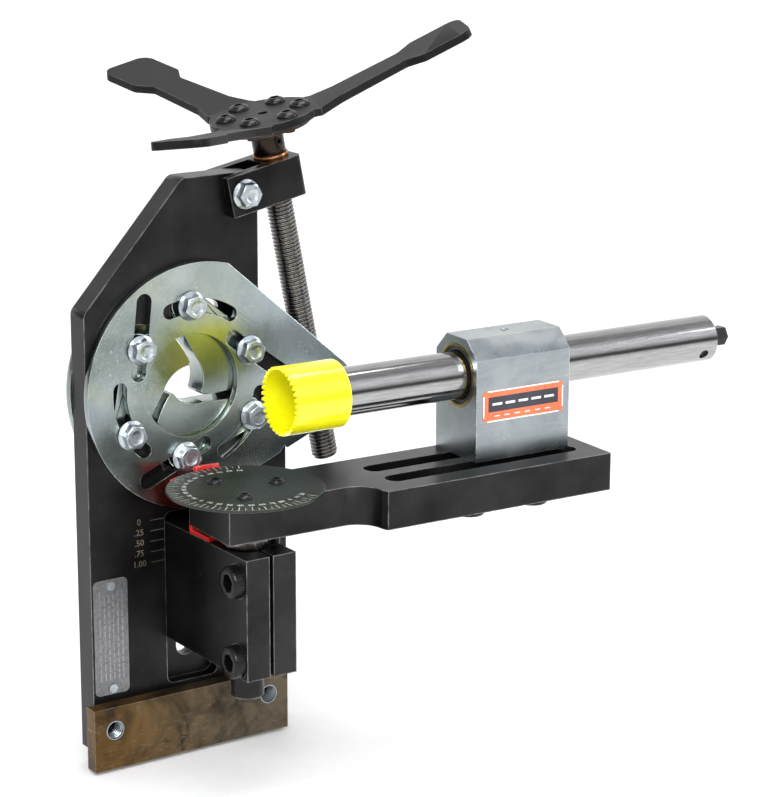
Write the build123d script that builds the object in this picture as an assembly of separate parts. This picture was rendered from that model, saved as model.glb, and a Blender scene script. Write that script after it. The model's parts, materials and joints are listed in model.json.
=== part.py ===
from build123d import *
import os
from math import asin, atan2, cos, degrees, hypot, pi, radians, sin

# Hole-saw tube notcher with a self-centring three-jaw vise.
# Everything is drawn about the vise centre: X runs along the swing arm, Y into the back plate
# from its front face, Z up. The finished pieces are moved once, so that the row's origin is the
# middle of the two tapped holes on the front face of the mounting bar.

IN = 25.4
GAP = 0.4                       # running gap between flat faces that slide past each other
FIT = 0.05                      # radial clearance of a pin or shaft in its hole

# --- back plate and mounting bar ---
PLATE_T = 0.625 * IN
PLATE_HALF_W = 2.61 * IN
PLATE_TOP = 4.73 * IN
PLATE_BOTTOM = -8.4 * IN
PLATE_NECK_X = 1.906 * IN       # right edge above the vise
PLATE_NECK_Z = 1.95 * IN
PLATE_FLARE_Z = 1.3 * IN        # where the right edge is full width again
SLANT_LOW_Z = 1.91 * IN
SLANT_TOP_X = -0.06 * IN
PLATE_CORNER_R = 6.0
POCKET_HALF_W = 0.665 * IN      # channel that guides the pivot bracket
POCKET_TOP = -2.95 * IN
POCKET_BOTTOM = -7.12 * IN
POCKET_D = 0.31 * IN
POCKET_R = 4.5
CHANNEL_SLOT_HALF_W = 0.25 * IN
CHANNEL_SLOT_TOP = -3.45 * IN
CHANNEL_SLOT_BOTTOM = -6.62 * IN
BAR_L = 5.1875 * IN
BAR_H = 1.5 * IN
BAR_T = 0.375 * IN
BAR_X = -0.2075 * IN            # the bar sits a little to the left of the plate
BAR_BOTTOM = -8.74 * IN
PATTERN_Z = -7.8 * IN           # height of the two tapped holes
PATTERN_SPACING = 4.125 * IN
TAPPED_R = 0.2125 * IN          # minor radius of the 1/2 in tapped holes
BAR_SCREW_SPACING = 1.8 * IN
DATA_PLATE_W = 0.87 * IN
DATA_PLATE_H = 2.76 * IN
DATA_PLATE_T = 0.8
DATA_PLATE_X = -2.13 * IN
DATA_PLATE_Z = -5.67 * IN
RIVET_SPACING = 2.47 * IN

# --- vise: two cam plates, three jaws ---
CAM_R = 2.865 * IN              # the plates' round edge, a little off the vise centre
CAM_CENTRE = (0.198 * IN, -0.035 * IN)
CAM_EDGE_ANGLES = (49, -67.7)   # directions that the tail's two straight edges face
CAM_T = 0.1875 * IN
TAIL_REACH = 3.614 * IN         # vise centre to the nut in the cam plates' tails
TAIL_ANGLE = -9.2
TAIL_R = 0.8 * IN
CAM_BORE_R = 1.2 * IN
PIVOT_R = 1.85 * IN             # pitch radius of the jaw pivots
PIVOT_ANGLE = 210               # left jaw's pivot; the others are 120 degrees apart
CAM_PIN_R = 1.645 * IN          # cam bolt of the left jaw, at rest
CAM_PIN_ANGLE = 142.5
JAW_RATE = 0.6                  # jaw swing per degree of cam plate turn
CAM_OPEN = 26                   # cam plate travel, opening, in degrees
CAM_CLOSE = -3
ARC_OPEN = 34                   # the round slots run on a little past the travel
ARC_CLOSE = -17
SLOT_HALF_W = 0.17 * IN
CAM_SLOT_HALF_W = 0.188 * IN    # the straight slots that drive the cam bolts
CAM_SLOT_L = 2.0 * IN
CAM_SLOT_ANGLE = 83.6
CAM_SLOT_MID = (-1.281 * IN, 1.267 * IN)
HEEL_R = 0.38 * IN
LOBE_R = 0.33 * IN
WINDOW_CLEAR = 1.0
HOOK_REACH = 2.48 * IN          # room for the jaw's nose, from its heel
HOOK_SWEEP = (18, 84)           # and the angles about the heel that the nose passes

# --- hex flange bolts, 5/16 in ---
BOLT_R = 0.3125 / 2 * IN
BOLT_FLANGE_R = 0.34 * IN
BOLT_FLANGE_T = 1.8
BOLT_AF = 0.5 * IN
BOLT_HEAD_T = 7.0
NUT_T = 6.9

# --- leadscrew, yoke and handle ---
LEAN = 11.26                    # leadscrew lean, top towards -X, in degrees
YOKE_PIVOT = (1.426 * IN, 4.27 * IN)
SCREW_OFFSET = 1.15 * IN        # yoke pivot to leadscrew axis
SCREW_R = 0.3125 * IN
JOURNAL_R = 0.25 * IN
YOKE_L = 2.0 * IN
YOKE_H = 0.94 * IN
YOKE_D = 1.17 * IN
YOKE_PIVOT_IN = 0.39 * IN       # yoke pivot from the fork's open end
FORK_GAP = 0.66 * IN
FORK_DEPTH = 1.13 * IN
SCREW_BELOW_YOKE = 6.53 * IN
NUT_R = 0.55 * IN
NUT_SHOULDER_R = 0.62 * IN
NUT_SWAY = 1.8                  # how far the leadscrew can shift sideways in the barrel nut
WASHER_T = 0.09 * IN
WASHER_R = 0.41 * IN
COLLAR_R = 0.375 * IN
COLLAR_L = 0.52 * IN
FLANGE_R = 1.06 * IN
FLANGE_T = 0.22 * IN
FLANGE_RIM_T = 0.12 * IN
SPIDER_T = 0.1875 * IN
SPIDER_R = 1.24 * IN
ARM_PHASE = -22                 # first handle arm, about the leadscrew from the +X side
ARM_TIP = 5.15 * IN
ARM_BENDS = (16, 12, 13.5)      # the handle arms are bent up by hand, each a little differently
ARM_BEND_R = 1.25 * IN
ARM_ROOT_W = 1.3 * IN
ARM_NECK_W = 0.8 * IN
NECK_R = 3.5 * IN
PADDLE_R = 3.9 * IN
PADDLE_W = 1.35 * IN
HANDLE_SCREW_R = 0.866 * IN

# --- pivot bracket, post and dial ---
POST_Y = -2.485 * IN
POST_R = 0.375 * IN
POST_FLANGE_R = 0.545 * IN
POST_BOTTOM = -6.75 * IN
BRACKET_HALF_W = 0.64 * IN
BRACKET_TOP = -3.165 * IN
BRACKET_H = 2.82 * IN
BRACKET_FRONT = -3.55 * IN
SLIT_W = 2.4
CLAMP_SCREW_Y = -3.14 * IN
CLAMP_SCREW_ZS = (-3.74 * IN, -5.6 * IN)
CLAMP_R = 0.25 * IN
CAP_HEAD_R = 0.375 * IN         # 1/2 in socket head screws
CAP_HEAD_H = 0.5 * IN
CAP_SOCKET_AF = 0.375 * IN
CAP_SOCKET_D = 0.25 * IN
CLAMP_HEAD_SUNK = 0.24 * IN
OFFSET_TRAVEL = 1.0 * IN
BRACKET_BOLT_ZS = (-3.95 * IN, -5.35 * IN)
BRACKET_BOLT_R = 0.1875 * IN
BRACKET_HOLE_D = 0.9 * IN
BRACKET_BOLT_IN = 0.8 * IN
BRACKET_BOLT_AF = 0.5625 * IN
BRACKET_BOLT_HEAD_T = 6.2
PLAIN_WASHER_T = 2.4
DIAL_R = 1.77 * IN
DIAL_T = 0.0625 * IN
DIAL_SCREW_R = 0.79 * IN

# --- swing arm, bearing block and spindle ---
ARM_REST = -2.5                 # the arm is drawn along X and stands turned by this much
ARM_TOP = -1.91 * IN
ARM_T = 0.9 * IN
ARM_HUB_X = -0.93 * IN
ARM_END_X = 8.76 * IN
ARM_FAR = 0.92 * IN             # far edge from the post axis
ARM_NEAR = 0.96 * IN            # near edge of the hub
ARM_WIDE = 1.75 * IN            # near edge of the wide end
ARM_WIDE_X = 2.645 * IN
ARM_FILLET = 0.62 * IN
ARM_SLOT_START = 3.1 * IN
ARM_SLOT_END = 8.3 * IN
ARM_SLOT_HALF_W = 0.27 * IN
ARM_SLOT_PITCH = 0.92 * IN
BLOCK_X = 6.87 * IN
BLOCK_L = 2.6 * IN
BLOCK_W = 1.7 * IN
BLOCK_TOP = 0.92 * IN
BLOCK_CHAMFER = 0.43 * IN
BLOCK_BOLT_PITCH = 1.79 * IN
BLOCK_BOLT_R = 0.25 * IN
CUP_R = 0.75 * IN
CUP_T = 1.6
CUP_L = 1.0 * IN
LABEL_W = 2.24 * IN
LABEL_H = 0.74 * IN
LABEL_Z = -0.62 * IN
LABEL_T = 0.3
LABEL_CORNER_R = 3.0
SEAL_R = 0.77 * IN
SEAL_T = 0.12 * IN
SPINDLE_R = 0.5625 * IN
SPINDLE_START = 2.3 * IN
SPINDLE_END = 12.85 * IN
NEEDLE_COUNT = 18
SAW_R = 0.78 * IN
SAW_START = 0.86 * IN
SAW_WALL = 1.6
SAW_BACK_T = 5.0
SAW_TEETH = 35
TOOTH_H = 2.3
ARBOR_R = 0.3125 * IN
HEX_AF = 0.4375 * IN
HEX_OUT = 0.55 * IN
HEX_IN = 1.1 * IN

SHIFT = Pos(-BAR_X, BAR_T, -PATTERN_Z)


def save(node, shape):
    """Move a finished piece to the row's frame and write its STEP file."""
    moved = SHIFT * shape
    moved.label = node
    export_step(moved, "parts/" + node + ".step")


def on_arm(shape):
    """Turn a shape drawn with the arm along X to the arm's own rest angle."""
    return Pos(0, POST_Y, 0) * Rot(0, 0, ARM_REST) * Pos(0, -POST_Y, 0) * shape


def slab(outline, y0, y1):
    """Extrude an outline drawn in X and Z from y0 to y1."""
    return extrude(Plane.XZ.offset(-y1) * outline, amount=y1 - y0)


def layer(outline, z0, z1):
    """Extrude an outline drawn in X and Y from z0 to z1."""
    return extrude(Pos(0, 0, z0) * outline, amount=z1 - z0)


def rod_x(radius, x0, x1, y, z):
    return Pos((x0 + x1) / 2, y, z) * Rot(0, 90, 0) * Cylinder(radius, x1 - x0)


def rod_y(radius, y0, y1, x, z):
    return Pos(x, (y0 + y1) / 2, z) * Rot(90, 0, 0) * Cylinder(radius, y1 - y0)


def rod_z(radius, z0, z1, x=0, y=0):
    return Pos(x, y, (z0 + z1) / 2) * Cylinder(radius, z1 - z0)


def hexagon(across_flats):
    return RegularPolygon(across_flats / 2, 6, major_radius=False)


def polar(radius, angle):
    return (radius * cos(radians(angle)), radius * sin(radians(angle)))


def beside(point, distance, angle):
    """The point at a distance from another, in the direction of an angle."""
    dx, dz = polar(distance, angle)
    return (point[0] + dx, point[1] + dz)


def turned(point, angle, centre=(0, 0)):
    """Turn a point of the X-Z drawing about a centre, anticlockwise as seen from the front."""
    dx, dz = point[0] - centre[0], point[1] - centre[1]
    c, s = cos(radians(angle)), sin(radians(angle))
    return (centre[0] + c * dx - s * dz, centre[1] + s * dx + c * dz)


# ---------------------------------------------------------------- fasteners

def flange_bolt(x, z, y_seat, y_end, radius=BOLT_R):
    """Hex flange bolt whose head faces the front: seat plane, then the end of the shank."""
    flange = rod_y(BOLT_FLANGE_R, y_seat - BOLT_FLANGE_T, y_seat, x, z)
    head = slab(Pos(x, z) * hexagon(BOLT_AF), y_seat - BOLT_HEAD_T, y_seat - BOLT_FLANGE_T)
    shank = rod_y(radius, y_seat, y_end, x, z)
    return flange + head + shank


def flange_nut(x, z, y_seat, bore=BOLT_R):
    """Hex flange nut that seats on the rear."""
    flange = rod_y(BOLT_FLANGE_R, y_seat, y_seat + BOLT_FLANGE_T, x, z)
    body = slab(Pos(x, z) * hexagon(BOLT_AF), y_seat + BOLT_FLANGE_T, y_seat + NUT_T)
    return flange + body - rod_y(bore + FIT, y_seat - 1, y_seat + NUT_T + 1, x, z)


def button_screw(radius, head_r, head_h, length):
    """Button-head socket screw standing on Z = 0, with its shank below."""
    dome_r = (head_r ** 2 + head_h ** 2) / (2 * head_h)
    dome = Pos(0, 0, head_h - dome_r) * Sphere(dome_r) & layer(Circle(head_r), 0, head_h)
    socket = layer(hexagon(radius * 1.1), head_h * 0.45, head_h + 1)
    return dome - socket + rod_z(radius, -length, 0)


# ---------------------------------------------------------------- frame

def plate_outline():
    corners = [
        (-PLATE_HALF_W, PLATE_BOTTOM),
        (PLATE_HALF_W, PLATE_BOTTOM),
        (PLATE_HALF_W, PLATE_FLARE_Z),
        (PLATE_NECK_X, PLATE_NECK_Z),
        (PLATE_NECK_X, PLATE_TOP),
        (SLANT_TOP_X, PLATE_TOP),
        (-PLATE_HALF_W, SLANT_LOW_Z),
    ]
    face = make_face(Polyline(*corners, close=True))
    return fillet(face.vertices().sort_by(Axis.Y)[2:], PLATE_CORNER_R)


def jaw_outline():
    """Left jaw at rest: a bar from its heel to its cam bolt, with a hooked nose."""
    heel = polar(PIVOT_R, PIVOT_ANGLE)
    lobe = polar(CAM_PIN_R, CAM_PIN_ANGLE)
    span = hypot(lobe[0] - heel[0], lobe[1] - heel[1])
    along = degrees(atan2(lobe[1] - heel[1], lobe[0] - heel[0]))
    lean = degrees(asin((HEEL_R - LOBE_R) / span))
    heel_left = beside(heel, HEEL_R, along + 90 - lean)
    lobe_left = beside(lobe, LOBE_R, along + 90 - lean)
    lobe_top = beside(lobe, LOBE_R, 80)
    heel_right = beside(heel, HEEL_R, -50)
    notch = (-0.93 * IN, -0.60 * IN)
    clamp_low = (-0.622 * IN, -0.106 * IN)
    clamp_mid = (-0.333 * IN, 0.273 * IN)
    clamp_high = (0.029 * IN, 0.411 * IN)
    tip = (0.075 * IN, 0.50 * IN)
    back_low = (-0.075 * IN, 0.80 * IN)
    back_high = (-0.29 * IN, 1.10 * IN)
    hook = [
        ThreePointArc(clamp_low, clamp_mid, clamp_high),
        Line(clamp_high, tip),
        Spline(tip, back_low, back_high),
        Polyline(back_high, lobe_top, lobe, heel, heel_right),
        Polyline(heel_right, notch, clamp_low),
    ]
    bar = make_face(Polyline(heel, lobe, lobe_left, heel_left, close=True))
    ends = Pos(*heel) * Circle(HEEL_R) + Pos(*lobe) * Circle(LOBE_R)
    return make_face(Curve() + hook) + bar + ends


def pie(centre, radius, start, end):
    """Slice of a disc between two angles, in degrees."""
    middle = (start + end) / 2
    rim = [beside(centre, radius, a) for a in (start, middle, end)]
    return make_face(Curve() + [Line(centre, rim[0]), ThreePointArc(*rim), Line(rim[2], centre)])


def window_outline():
    """Opening that lets the three jaws swing: slices about each heel, and the tube's circle."""
    heel = polar(PIVOT_R, PIVOT_ANGLE)
    lobe = polar(CAM_PIN_R, CAM_PIN_ANGLE)
    span = hypot(lobe[0] - heel[0], lobe[1] - heel[1])
    along = degrees(atan2(lobe[1] - heel[1], lobe[0] - heel[0])) + JAW_RATE * CAM_OPEN
    reach = span + LOBE_R + WINDOW_CLEAR
    side = HEEL_R + WINDOW_CLEAR
    left_end = along + degrees(asin(side / reach))
    left = [beside(heel, side, along + 90), beside(heel, reach, left_end)]
    right = [beside(heel, side, HOOK_SWEEP[0] - 90), beside(heel, HOOK_REACH, HOOK_SWEEP[0])]
    room = pie(heel, reach, HOOK_SWEEP[0], left_end) + pie(heel, HOOK_REACH, *HOOK_SWEEP)
    room += Pos(*heel) * Circle(side)
    room += make_face(Polyline(heel, *left, close=True))
    room += make_face(Polyline(heel, *right, close=True))
    whole = Circle(CAM_BORE_R + WINDOW_CLEAR)
    for k in range(3):
        whole += Rot(0, 0, 120 * k) * room
    return whole


def back_plate():
    plate = slab(plate_outline(), 0, PLATE_T)
    plate -= slab(window_outline(), -1, PLATE_T + 1)
    pocket_h = POCKET_TOP - POCKET_BOTTOM
    pocket = Pos(0, (POCKET_TOP + POCKET_BOTTOM) / 2) * RectangleRounded(
        2 * POCKET_HALF_W, pocket_h, POCKET_R)
    plate -= slab(pocket, -1, POCKET_D)
    slot_h = CHANNEL_SLOT_TOP - CHANNEL_SLOT_BOTTOM
    slot_mid = (CHANNEL_SLOT_TOP + CHANNEL_SLOT_BOTTOM) / 2
    slot = Pos(0, slot_mid) * Rot(0, 0, 90) * SlotOverall(slot_h, 2 * CHANNEL_SLOT_HALF_W)
    plate -= slab(slot, -1, PLATE_T + 1)
    plate -= rod_y(BOLT_R + FIT, -1, PLATE_T + 1, *YOKE_PIVOT)
    for x in bar_screw_xs():
        plate -= rod_y(BAR_SCREW_R + FIT, -1, PLATE_T + 1, x, BAR_SCREW_Z)
        plate -= rod_y(BAR_SCREW_HEAD_R, PLATE_T - BAR_SCREW_HEAD_T, PLATE_T + 1, x, BAR_SCREW_Z)
    for z in rivet_zs():
        plate -= rod_y(RIVET_R + FIT, -1, RIVET_L, DATA_PLATE_X, z)
    return plate


BAR_SCREW_R = 0.125 * IN
BAR_SCREW_HEAD_R = 0.22 * IN
BAR_SCREW_HEAD_T = 0.25 * IN
BAR_SCREW_Z = BAR_BOTTOM + 0.62 * BAR_H
RIVET_R = 1.6
RIVET_HEAD_R = 2.6
RIVET_HEAD_T = 1.2
RIVET_L = 6.0


def bar_screw_xs():
    return [BAR_X - BAR_SCREW_SPACING / 2, BAR_X + BAR_SCREW_SPACING / 2]


def rivet_zs():
    return [DATA_PLATE_Z - RIVET_SPACING / 2, DATA_PLATE_Z + RIVET_SPACING / 2]


def mounting_bar():
    bar = Pos(BAR_X, -BAR_T / 2, BAR_BOTTOM + BAR_H / 2) * Box(BAR_L, BAR_T, BAR_H)
    for side in (-1, 1):
        x = BAR_X + side * PATTERN_SPACING / 2
        bar -= rod_y(TAPPED_R, -BAR_T - 1, 1, x, PATTERN_Z)
    for x in bar_screw_xs():
        bar -= rod_y(BAR_SCREW_R + FIT, -BAR_T + 2.5, 1, x, BAR_SCREW_Z)
    return bar


def bar_screws():
    """Socket screws let into the back of the plate, threaded into the bar."""
    group = []
    for x in bar_screw_xs():
        head = rod_y(BAR_SCREW_HEAD_R - 0.3, PLATE_T - BAR_SCREW_HEAD_T, PLATE_T, x, BAR_SCREW_Z)
        head -= slab(Pos(x, BAR_SCREW_Z) * hexagon(0.19 * IN), PLATE_T - 3, PLATE_T + 1)
        group.append(head + rod_y(BAR_SCREW_R, -BAR_T + 3, PLATE_T - 3, x, BAR_SCREW_Z))
    return Compound(group)


def data_plate():
    outline = RectangleRounded(DATA_PLATE_W, DATA_PLATE_H, 3)
    plate = slab(Pos(DATA_PLATE_X, DATA_PLATE_Z) * outline, -DATA_PLATE_T, 0)
    for z in rivet_zs():
        plate -= rod_y(RIVET_R + FIT, -2, 1, DATA_PLATE_X, z)
    return plate


def data_plate_rivets():
    group = []
    for z in rivet_zs():
        y = -DATA_PLATE_T
        head = rod_y(RIVET_HEAD_R, y - RIVET_HEAD_T, y, DATA_PLATE_X, z)
        group.append(head + rod_y(RIVET_R, y, RIVET_L - 0.5, DATA_PLATE_X, z))
    return Compound(group)


# ---------------------------------------------------------------- vise

def pivot_points():
    return [polar(PIVOT_R, PIVOT_ANGLE + 120 * k) for k in range(3)]


def cam_pin_points():
    return [polar(CAM_PIN_R, CAM_PIN_ANGLE + 120 * k) for k in range(3)]


def cam_slot():
    """Straight slot that the left jaw's cam bolt runs in."""
    return Pos(*CAM_SLOT_MID) * Rot(0, 0, CAM_SLOT_ANGLE) * SlotOverall(
        CAM_SLOT_L, 2 * CAM_SLOT_HALF_W)


def arc_slot():
    """Concentric slot that passes the pivot bolt of the left jaw."""
    turns = (ARC_CLOSE, (ARC_CLOSE + ARC_OPEN) / 2, ARC_OPEN)
    start, middle, end = [polar(PIVOT_R, PIVOT_ANGLE - t) for t in turns]
    arc = ThreePointArc(start, middle, end)
    return trace(arc, 2 * SLOT_HALF_W) + [Pos(*p) * Circle(SLOT_HALF_W) for p in (start, end)]


def cam_outline():
    """Outline of both cam plates, with their bore, slots and the nut's hole."""
    tail = polar(TAIL_REACH, TAIL_ANGLE)
    upper, lower = CAM_EDGE_ANGLES
    outline = Pos(*CAM_CENTRE) * Circle(CAM_R)
    for angle in CAM_EDGE_ANGLES:
        beyond = Pos(TAIL_R + CAM_R, 0) * Rectangle(2 * CAM_R, 4 * CAM_R)
        outline -= Pos(*tail) * Rot(0, 0, angle) * beyond
    high = beside(tail, TAIL_R, upper)
    low = beside(tail, TAIL_R, lower)
    web = [low, tail, high, beside(high, CAM_R, upper + 90), (0, 0), beside(low, CAM_R / 2, lower - 90)]
    outline += make_face(Polyline(*web, close=True)) + Pos(*tail) * Circle(TAIL_R)
    outline -= Pos(*tail) * Circle(NUT_R + FIT)
    outline -= Circle(CAM_BORE_R)
    for k in range(3):
        outline -= Rot(0, 0, 120 * k) * cam_slot()
        outline -= Rot(0, 0, 120 * k) * arc_slot()
    return outline


FRONT_FACE = -GAP - CAM_T       # outer face of the front cam plate
REAR_FACE = PLATE_T + GAP + CAM_T


def front_cam_plate():
    return slab(cam_outline(), FRONT_FACE, -GAP)


def rear_cam_plate():
    return slab(cam_outline(), PLATE_T + GAP, REAR_FACE)


def jaw(k):
    """One of the three jaws, as thick as the back plate."""
    body = slab(jaw_outline(), 0, PLATE_T)
    body -= rod_y(BOLT_R + FIT, -1, PLATE_T + 1, *polar(PIVOT_R, PIVOT_ANGLE))
    body -= rod_y(BOLT_R + FIT, -1, PLATE_T + 1, *polar(CAM_PIN_R, CAM_PIN_ANGLE))
    return Rot(0, -120 * k, 0) * body


def through_bolt(x, z):
    return flange_bolt(x, z, FRONT_FACE - GAP, REAR_FACE + GAP + NUT_T + 2)


def through_nut(x, z):
    return flange_nut(x, z, REAR_FACE + GAP)


# ---------------------------------------------------------------- leadscrew and yoke

def on_screw(shape):
    """Place a shape drawn with the leadscrew along Z and the yoke's top face at Z = 0."""
    hinge_to_top = YOKE_H / 2
    return Pos(YOKE_PIVOT[0], PLATE_T / 2, YOKE_PIVOT[1]) * Rot(0, -LEAN, 0) * Pos(
        SCREW_OFFSET, 0, hinge_to_top) * shape


def yoke_block():
    x0 = -SCREW_OFFSET - YOKE_PIVOT_IN
    block = Pos(x0 + YOKE_L / 2, 0, -YOKE_H / 2) * Box(YOKE_L, YOKE_D, YOKE_H)
    block = fillet(block.edges().filter_by(Axis.Z).group_by(Axis.X)[-1], 3)
    block -= Pos(x0 + FORK_DEPTH / 2 - 1, 0, -YOKE_H / 2) * Box(FORK_DEPTH + 2, FORK_GAP, YOKE_H + 2)
    block -= rod_z(BUSH_R + FIT, -YOKE_H - 1, 1)
    block -= rod_y(BOLT_R + FIT, -YOKE_D, YOKE_D, -SCREW_OFFSET, -YOKE_H / 2)
    return on_screw(block)


BUSH_R = 0.3125 * IN


def thrust_bush():
    """Flanged bronze bush in the yoke that carries the leadscrew's journal."""
    bush = rod_z(BUSH_R, -YOKE_H + 1, 0) + rod_z(WASHER_R, 0, WASHER_T)
    return on_screw(bush - rod_z(JOURNAL_R + FIT, -YOKE_H - 1, WASHER_T + 1))


HUB_TOP = WASHER_T + GAP + COLLAR_L     # top of the drive collar, above the yoke
FLANGE_TOP = HUB_TOP + FLANGE_T


def leadscrew():
    """Threaded rod with a plain journal that turns in the yoke; the thread is left plain here."""
    journal = rod_z(JOURNAL_R, -YOKE_H - GAP, FLANGE_TOP - 1)
    body = rod_z(SCREW_R, -YOKE_H - SCREW_BELOW_YOKE, -YOKE_H - GAP)
    body = chamfer(body.edges().group_by(Axis.Z)[0], 1.2)
    return on_screw(journal + body)


def drive_collar():
    collar = rod_z(COLLAR_R, WASHER_T + GAP, HUB_TOP) - rod_z(JOURNAL_R + FIT, -1, HUB_TOP + 1)
    collar -= collar_screw_hole(COLLAR_SCREW_R + FIT)
    return on_screw(collar)


COLLAR_SCREW_R = 0.094 * IN
COLLAR_SCREW_ANGLE = -80


def collar_screw_hole(radius):
    """Radial rod from the journal's surface to the collar's surface."""
    z = WASHER_T + GAP + COLLAR_L * 0.55
    rod = rod_x(radius, JOURNAL_R + 2 * FIT, COLLAR_R + 0.4, 0, z)
    return Rot(0, 0, COLLAR_SCREW_ANGLE) * rod


def collar_set_screw():
    z = WASHER_T + GAP + COLLAR_L * 0.55
    socket = Pos(COLLAR_R, 0, z) * Rot(0, 90, 0) * extrude(hexagon(2.4), amount=3, both=True)
    return on_screw(collar_screw_hole(COLLAR_SCREW_R) - Rot(0, 0, COLLAR_SCREW_ANGLE) * socket)


def handle_screw_spots():
    return [polar(HANDLE_SCREW_R, ARM_PHASE + 60 * k) for k in range(6)]


def handle_flange():
    """Flange under the handle, with a short cone down to the collar."""
    disc = rod_z(FLANGE_R, FLANGE_TOP - FLANGE_RIM_T, FLANGE_TOP)
    cone_h = FLANGE_T - FLANGE_RIM_T
    cone = Pos(0, 0, HUB_TOP + cone_h / 2) * Cone(COLLAR_R + 1.5, FLANGE_R - 3, cone_h)
    flange = disc + cone - rod_z(JOURNAL_R + FIT, 0, FLANGE_TOP + 1)
    for x, y in handle_screw_spots():
        flange -= rod_z(HANDLE_SCREW_SHANK + FIT, 0, FLANGE_TOP + 1, x, y)
    return on_screw(flange)


HANDLE_SCREW_SHANK = 0.125 * IN


def handle_arm_flat():
    """One handle arm along +X from the hub: a tapered arm with a paddle."""
    root = ARM_BEND_R
    half = [
        (root, ARM_ROOT_W / 2),
        (root + 0.25 * (NECK_R - root), ARM_ROOT_W * 0.37),
        (NECK_R, ARM_NECK_W / 2),
        (PADDLE_R, PADDLE_W / 2),
        (ARM_TIP, PADDLE_W / 2),
    ]
    outline = half + [(x, -y) for x, y in reversed(half)]
    face = make_face(Polyline(*outline, close=True))
    tips = face.vertices().sort_by(Axis.X)[-2:]
    face = fillet(tips, 0.3 * IN)
    necks = face.vertices().sort_by(Axis.X)[4:8]
    return fillet(necks, 0.2 * IN)


def handle_spider():
    """Flat hub with three arms bent up at the hub's edge."""
    hub_face = Circle(SPIDER_R)
    for k in range(3):
        hub_face += Rot(0, 0, ARM_PHASE + 120 * k) * Pos(ARM_BEND_R / 2, 0) * Rectangle(
            ARM_BEND_R, ARM_ROOT_W)
    spider = layer(hub_face, 0, SPIDER_T)
    arm = extrude(handle_arm_flat(), amount=SPIDER_T)
    for k, bend in enumerate(ARM_BENDS):
        bent = Pos(ARM_BEND_R, 0, 0) * Rot(0, -bend, 0) * Pos(-ARM_BEND_R, 0, 0) * arm
        spider += Rot(0, 0, ARM_PHASE + 120 * k) * bent
    spider -= rod_z(0.125 * IN, -1, SPIDER_T + 1)
    for x, y in handle_screw_spots():
        spider -= rod_z(HANDLE_SCREW_SHANK + FIT, -1, SPIDER_T + 1, x, y)
    return on_screw(Pos(0, 0, FLANGE_TOP) * spider)


def handle_screws():
    screw = button_screw(HANDLE_SCREW_SHANK, 0.24 * IN, 0.13 * IN, SPIDER_T + FLANGE_T - 1)
    group = [Pos(x, y, FLANGE_TOP + SPIDER_T) * screw for x, y in handle_screw_spots()]
    return on_screw(Compound(group))


def barrel_nut():
    """Cross nut in the cam plates' tails, shouldered between them, with the leadscrew's bore."""
    nut = rod_y(NUT_R, FRONT_FACE, REAR_FACE, 0, 0) + rod_y(NUT_SHOULDER_R, 0, PLATE_T, 0, 0)
    bore = SlotCenterToCenter(2 * NUT_SWAY, 2 * (SCREW_R + GAP))
    tunnel = Pos(0, PLATE_T / 2, 0) * layer(bore, -2 * NUT_R, 2 * NUT_R)
    tail = polar(TAIL_REACH, TAIL_ANGLE)
    return Pos(tail[0], 0, tail[1]) * (nut - Rot(0, -LEAN, 0) * tunnel)


# ---------------------------------------------------------------- pivot bracket

def pivot_bracket():
    """Block that slides in the plate's channel and clamps the pivot post."""
    back = POCKET_D - GAP
    depth = back - BRACKET_FRONT
    mid = Pos(0, (back + BRACKET_FRONT) / 2, BRACKET_TOP - BRACKET_H / 2)
    body = mid * Box(2 * BRACKET_HALF_W, depth, BRACKET_H)
    body -= rod_z(POST_R + FIT, BRACKET_TOP - BRACKET_H - 1, BRACKET_TOP + 1, 0, POST_Y)
    slit_len = POST_Y - BRACKET_FRONT + 1
    body -= Pos(0, POST_Y - slit_len / 2, BRACKET_TOP - BRACKET_H / 2) * Box(
        SLIT_W, slit_len, BRACKET_H + 2)
    for z in CLAMP_SCREW_ZS:
        body -= rod_x(CLAMP_R + FIT, -BRACKET_HALF_W - 1, BRACKET_HALF_W + 1, CLAMP_SCREW_Y, z)
        sunk = -BRACKET_HALF_W + CLAMP_HEAD_SUNK
        body -= rod_x(CAP_HEAD_R + 0.3, -BRACKET_HALF_W - 1, sunk, CLAMP_SCREW_Y, z)
    for z in BRACKET_BOLT_ZS:
        body -= rod_y(BRACKET_BOLT_R + FIT, back - BRACKET_HOLE_D, back + 1, 0, z)
    for x in POINTER_SCREW_XS:
        body -= rod_z(POINTER_SCREW_R + FIT, BRACKET_TOP - 8, BRACKET_TOP + 1, x, POINTER_SCREW_Y)
    return body


def clamp_screws():
    group = []
    for z in CLAMP_SCREW_ZS:
        seat = -BRACKET_HALF_W + CLAMP_HEAD_SUNK
        head = rod_x(CAP_HEAD_R, seat - CAP_HEAD_H, seat, CLAMP_SCREW_Y, z)
        socket = Pos(seat - CAP_HEAD_H, CLAMP_SCREW_Y, z) * Rot(0, 90, 0) * extrude(
            hexagon(CAP_SOCKET_AF), amount=CAP_SOCKET_D, both=True)
        shank = rod_x(CLAMP_R, seat, BRACKET_HALF_W - 1, CLAMP_SCREW_Y, z)
        group.append(head - socket + shank)
    return Compound(group)


def bracket_bolts():
    """Hex bolts from behind, through the channel's slot into the bracket."""
    group = []
    for z in BRACKET_BOLT_ZS:
        seat = PLATE_T + GAP + PLAIN_WASHER_T
        shank = rod_y(BRACKET_BOLT_R, POCKET_D - GAP - BRACKET_BOLT_IN, seat, 0, z)
        head = slab(Pos(0, z) * hexagon(BRACKET_BOLT_AF), seat, seat + BRACKET_BOLT_HEAD_T)
        group.append(shank + head)
    return Compound(group)


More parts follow.
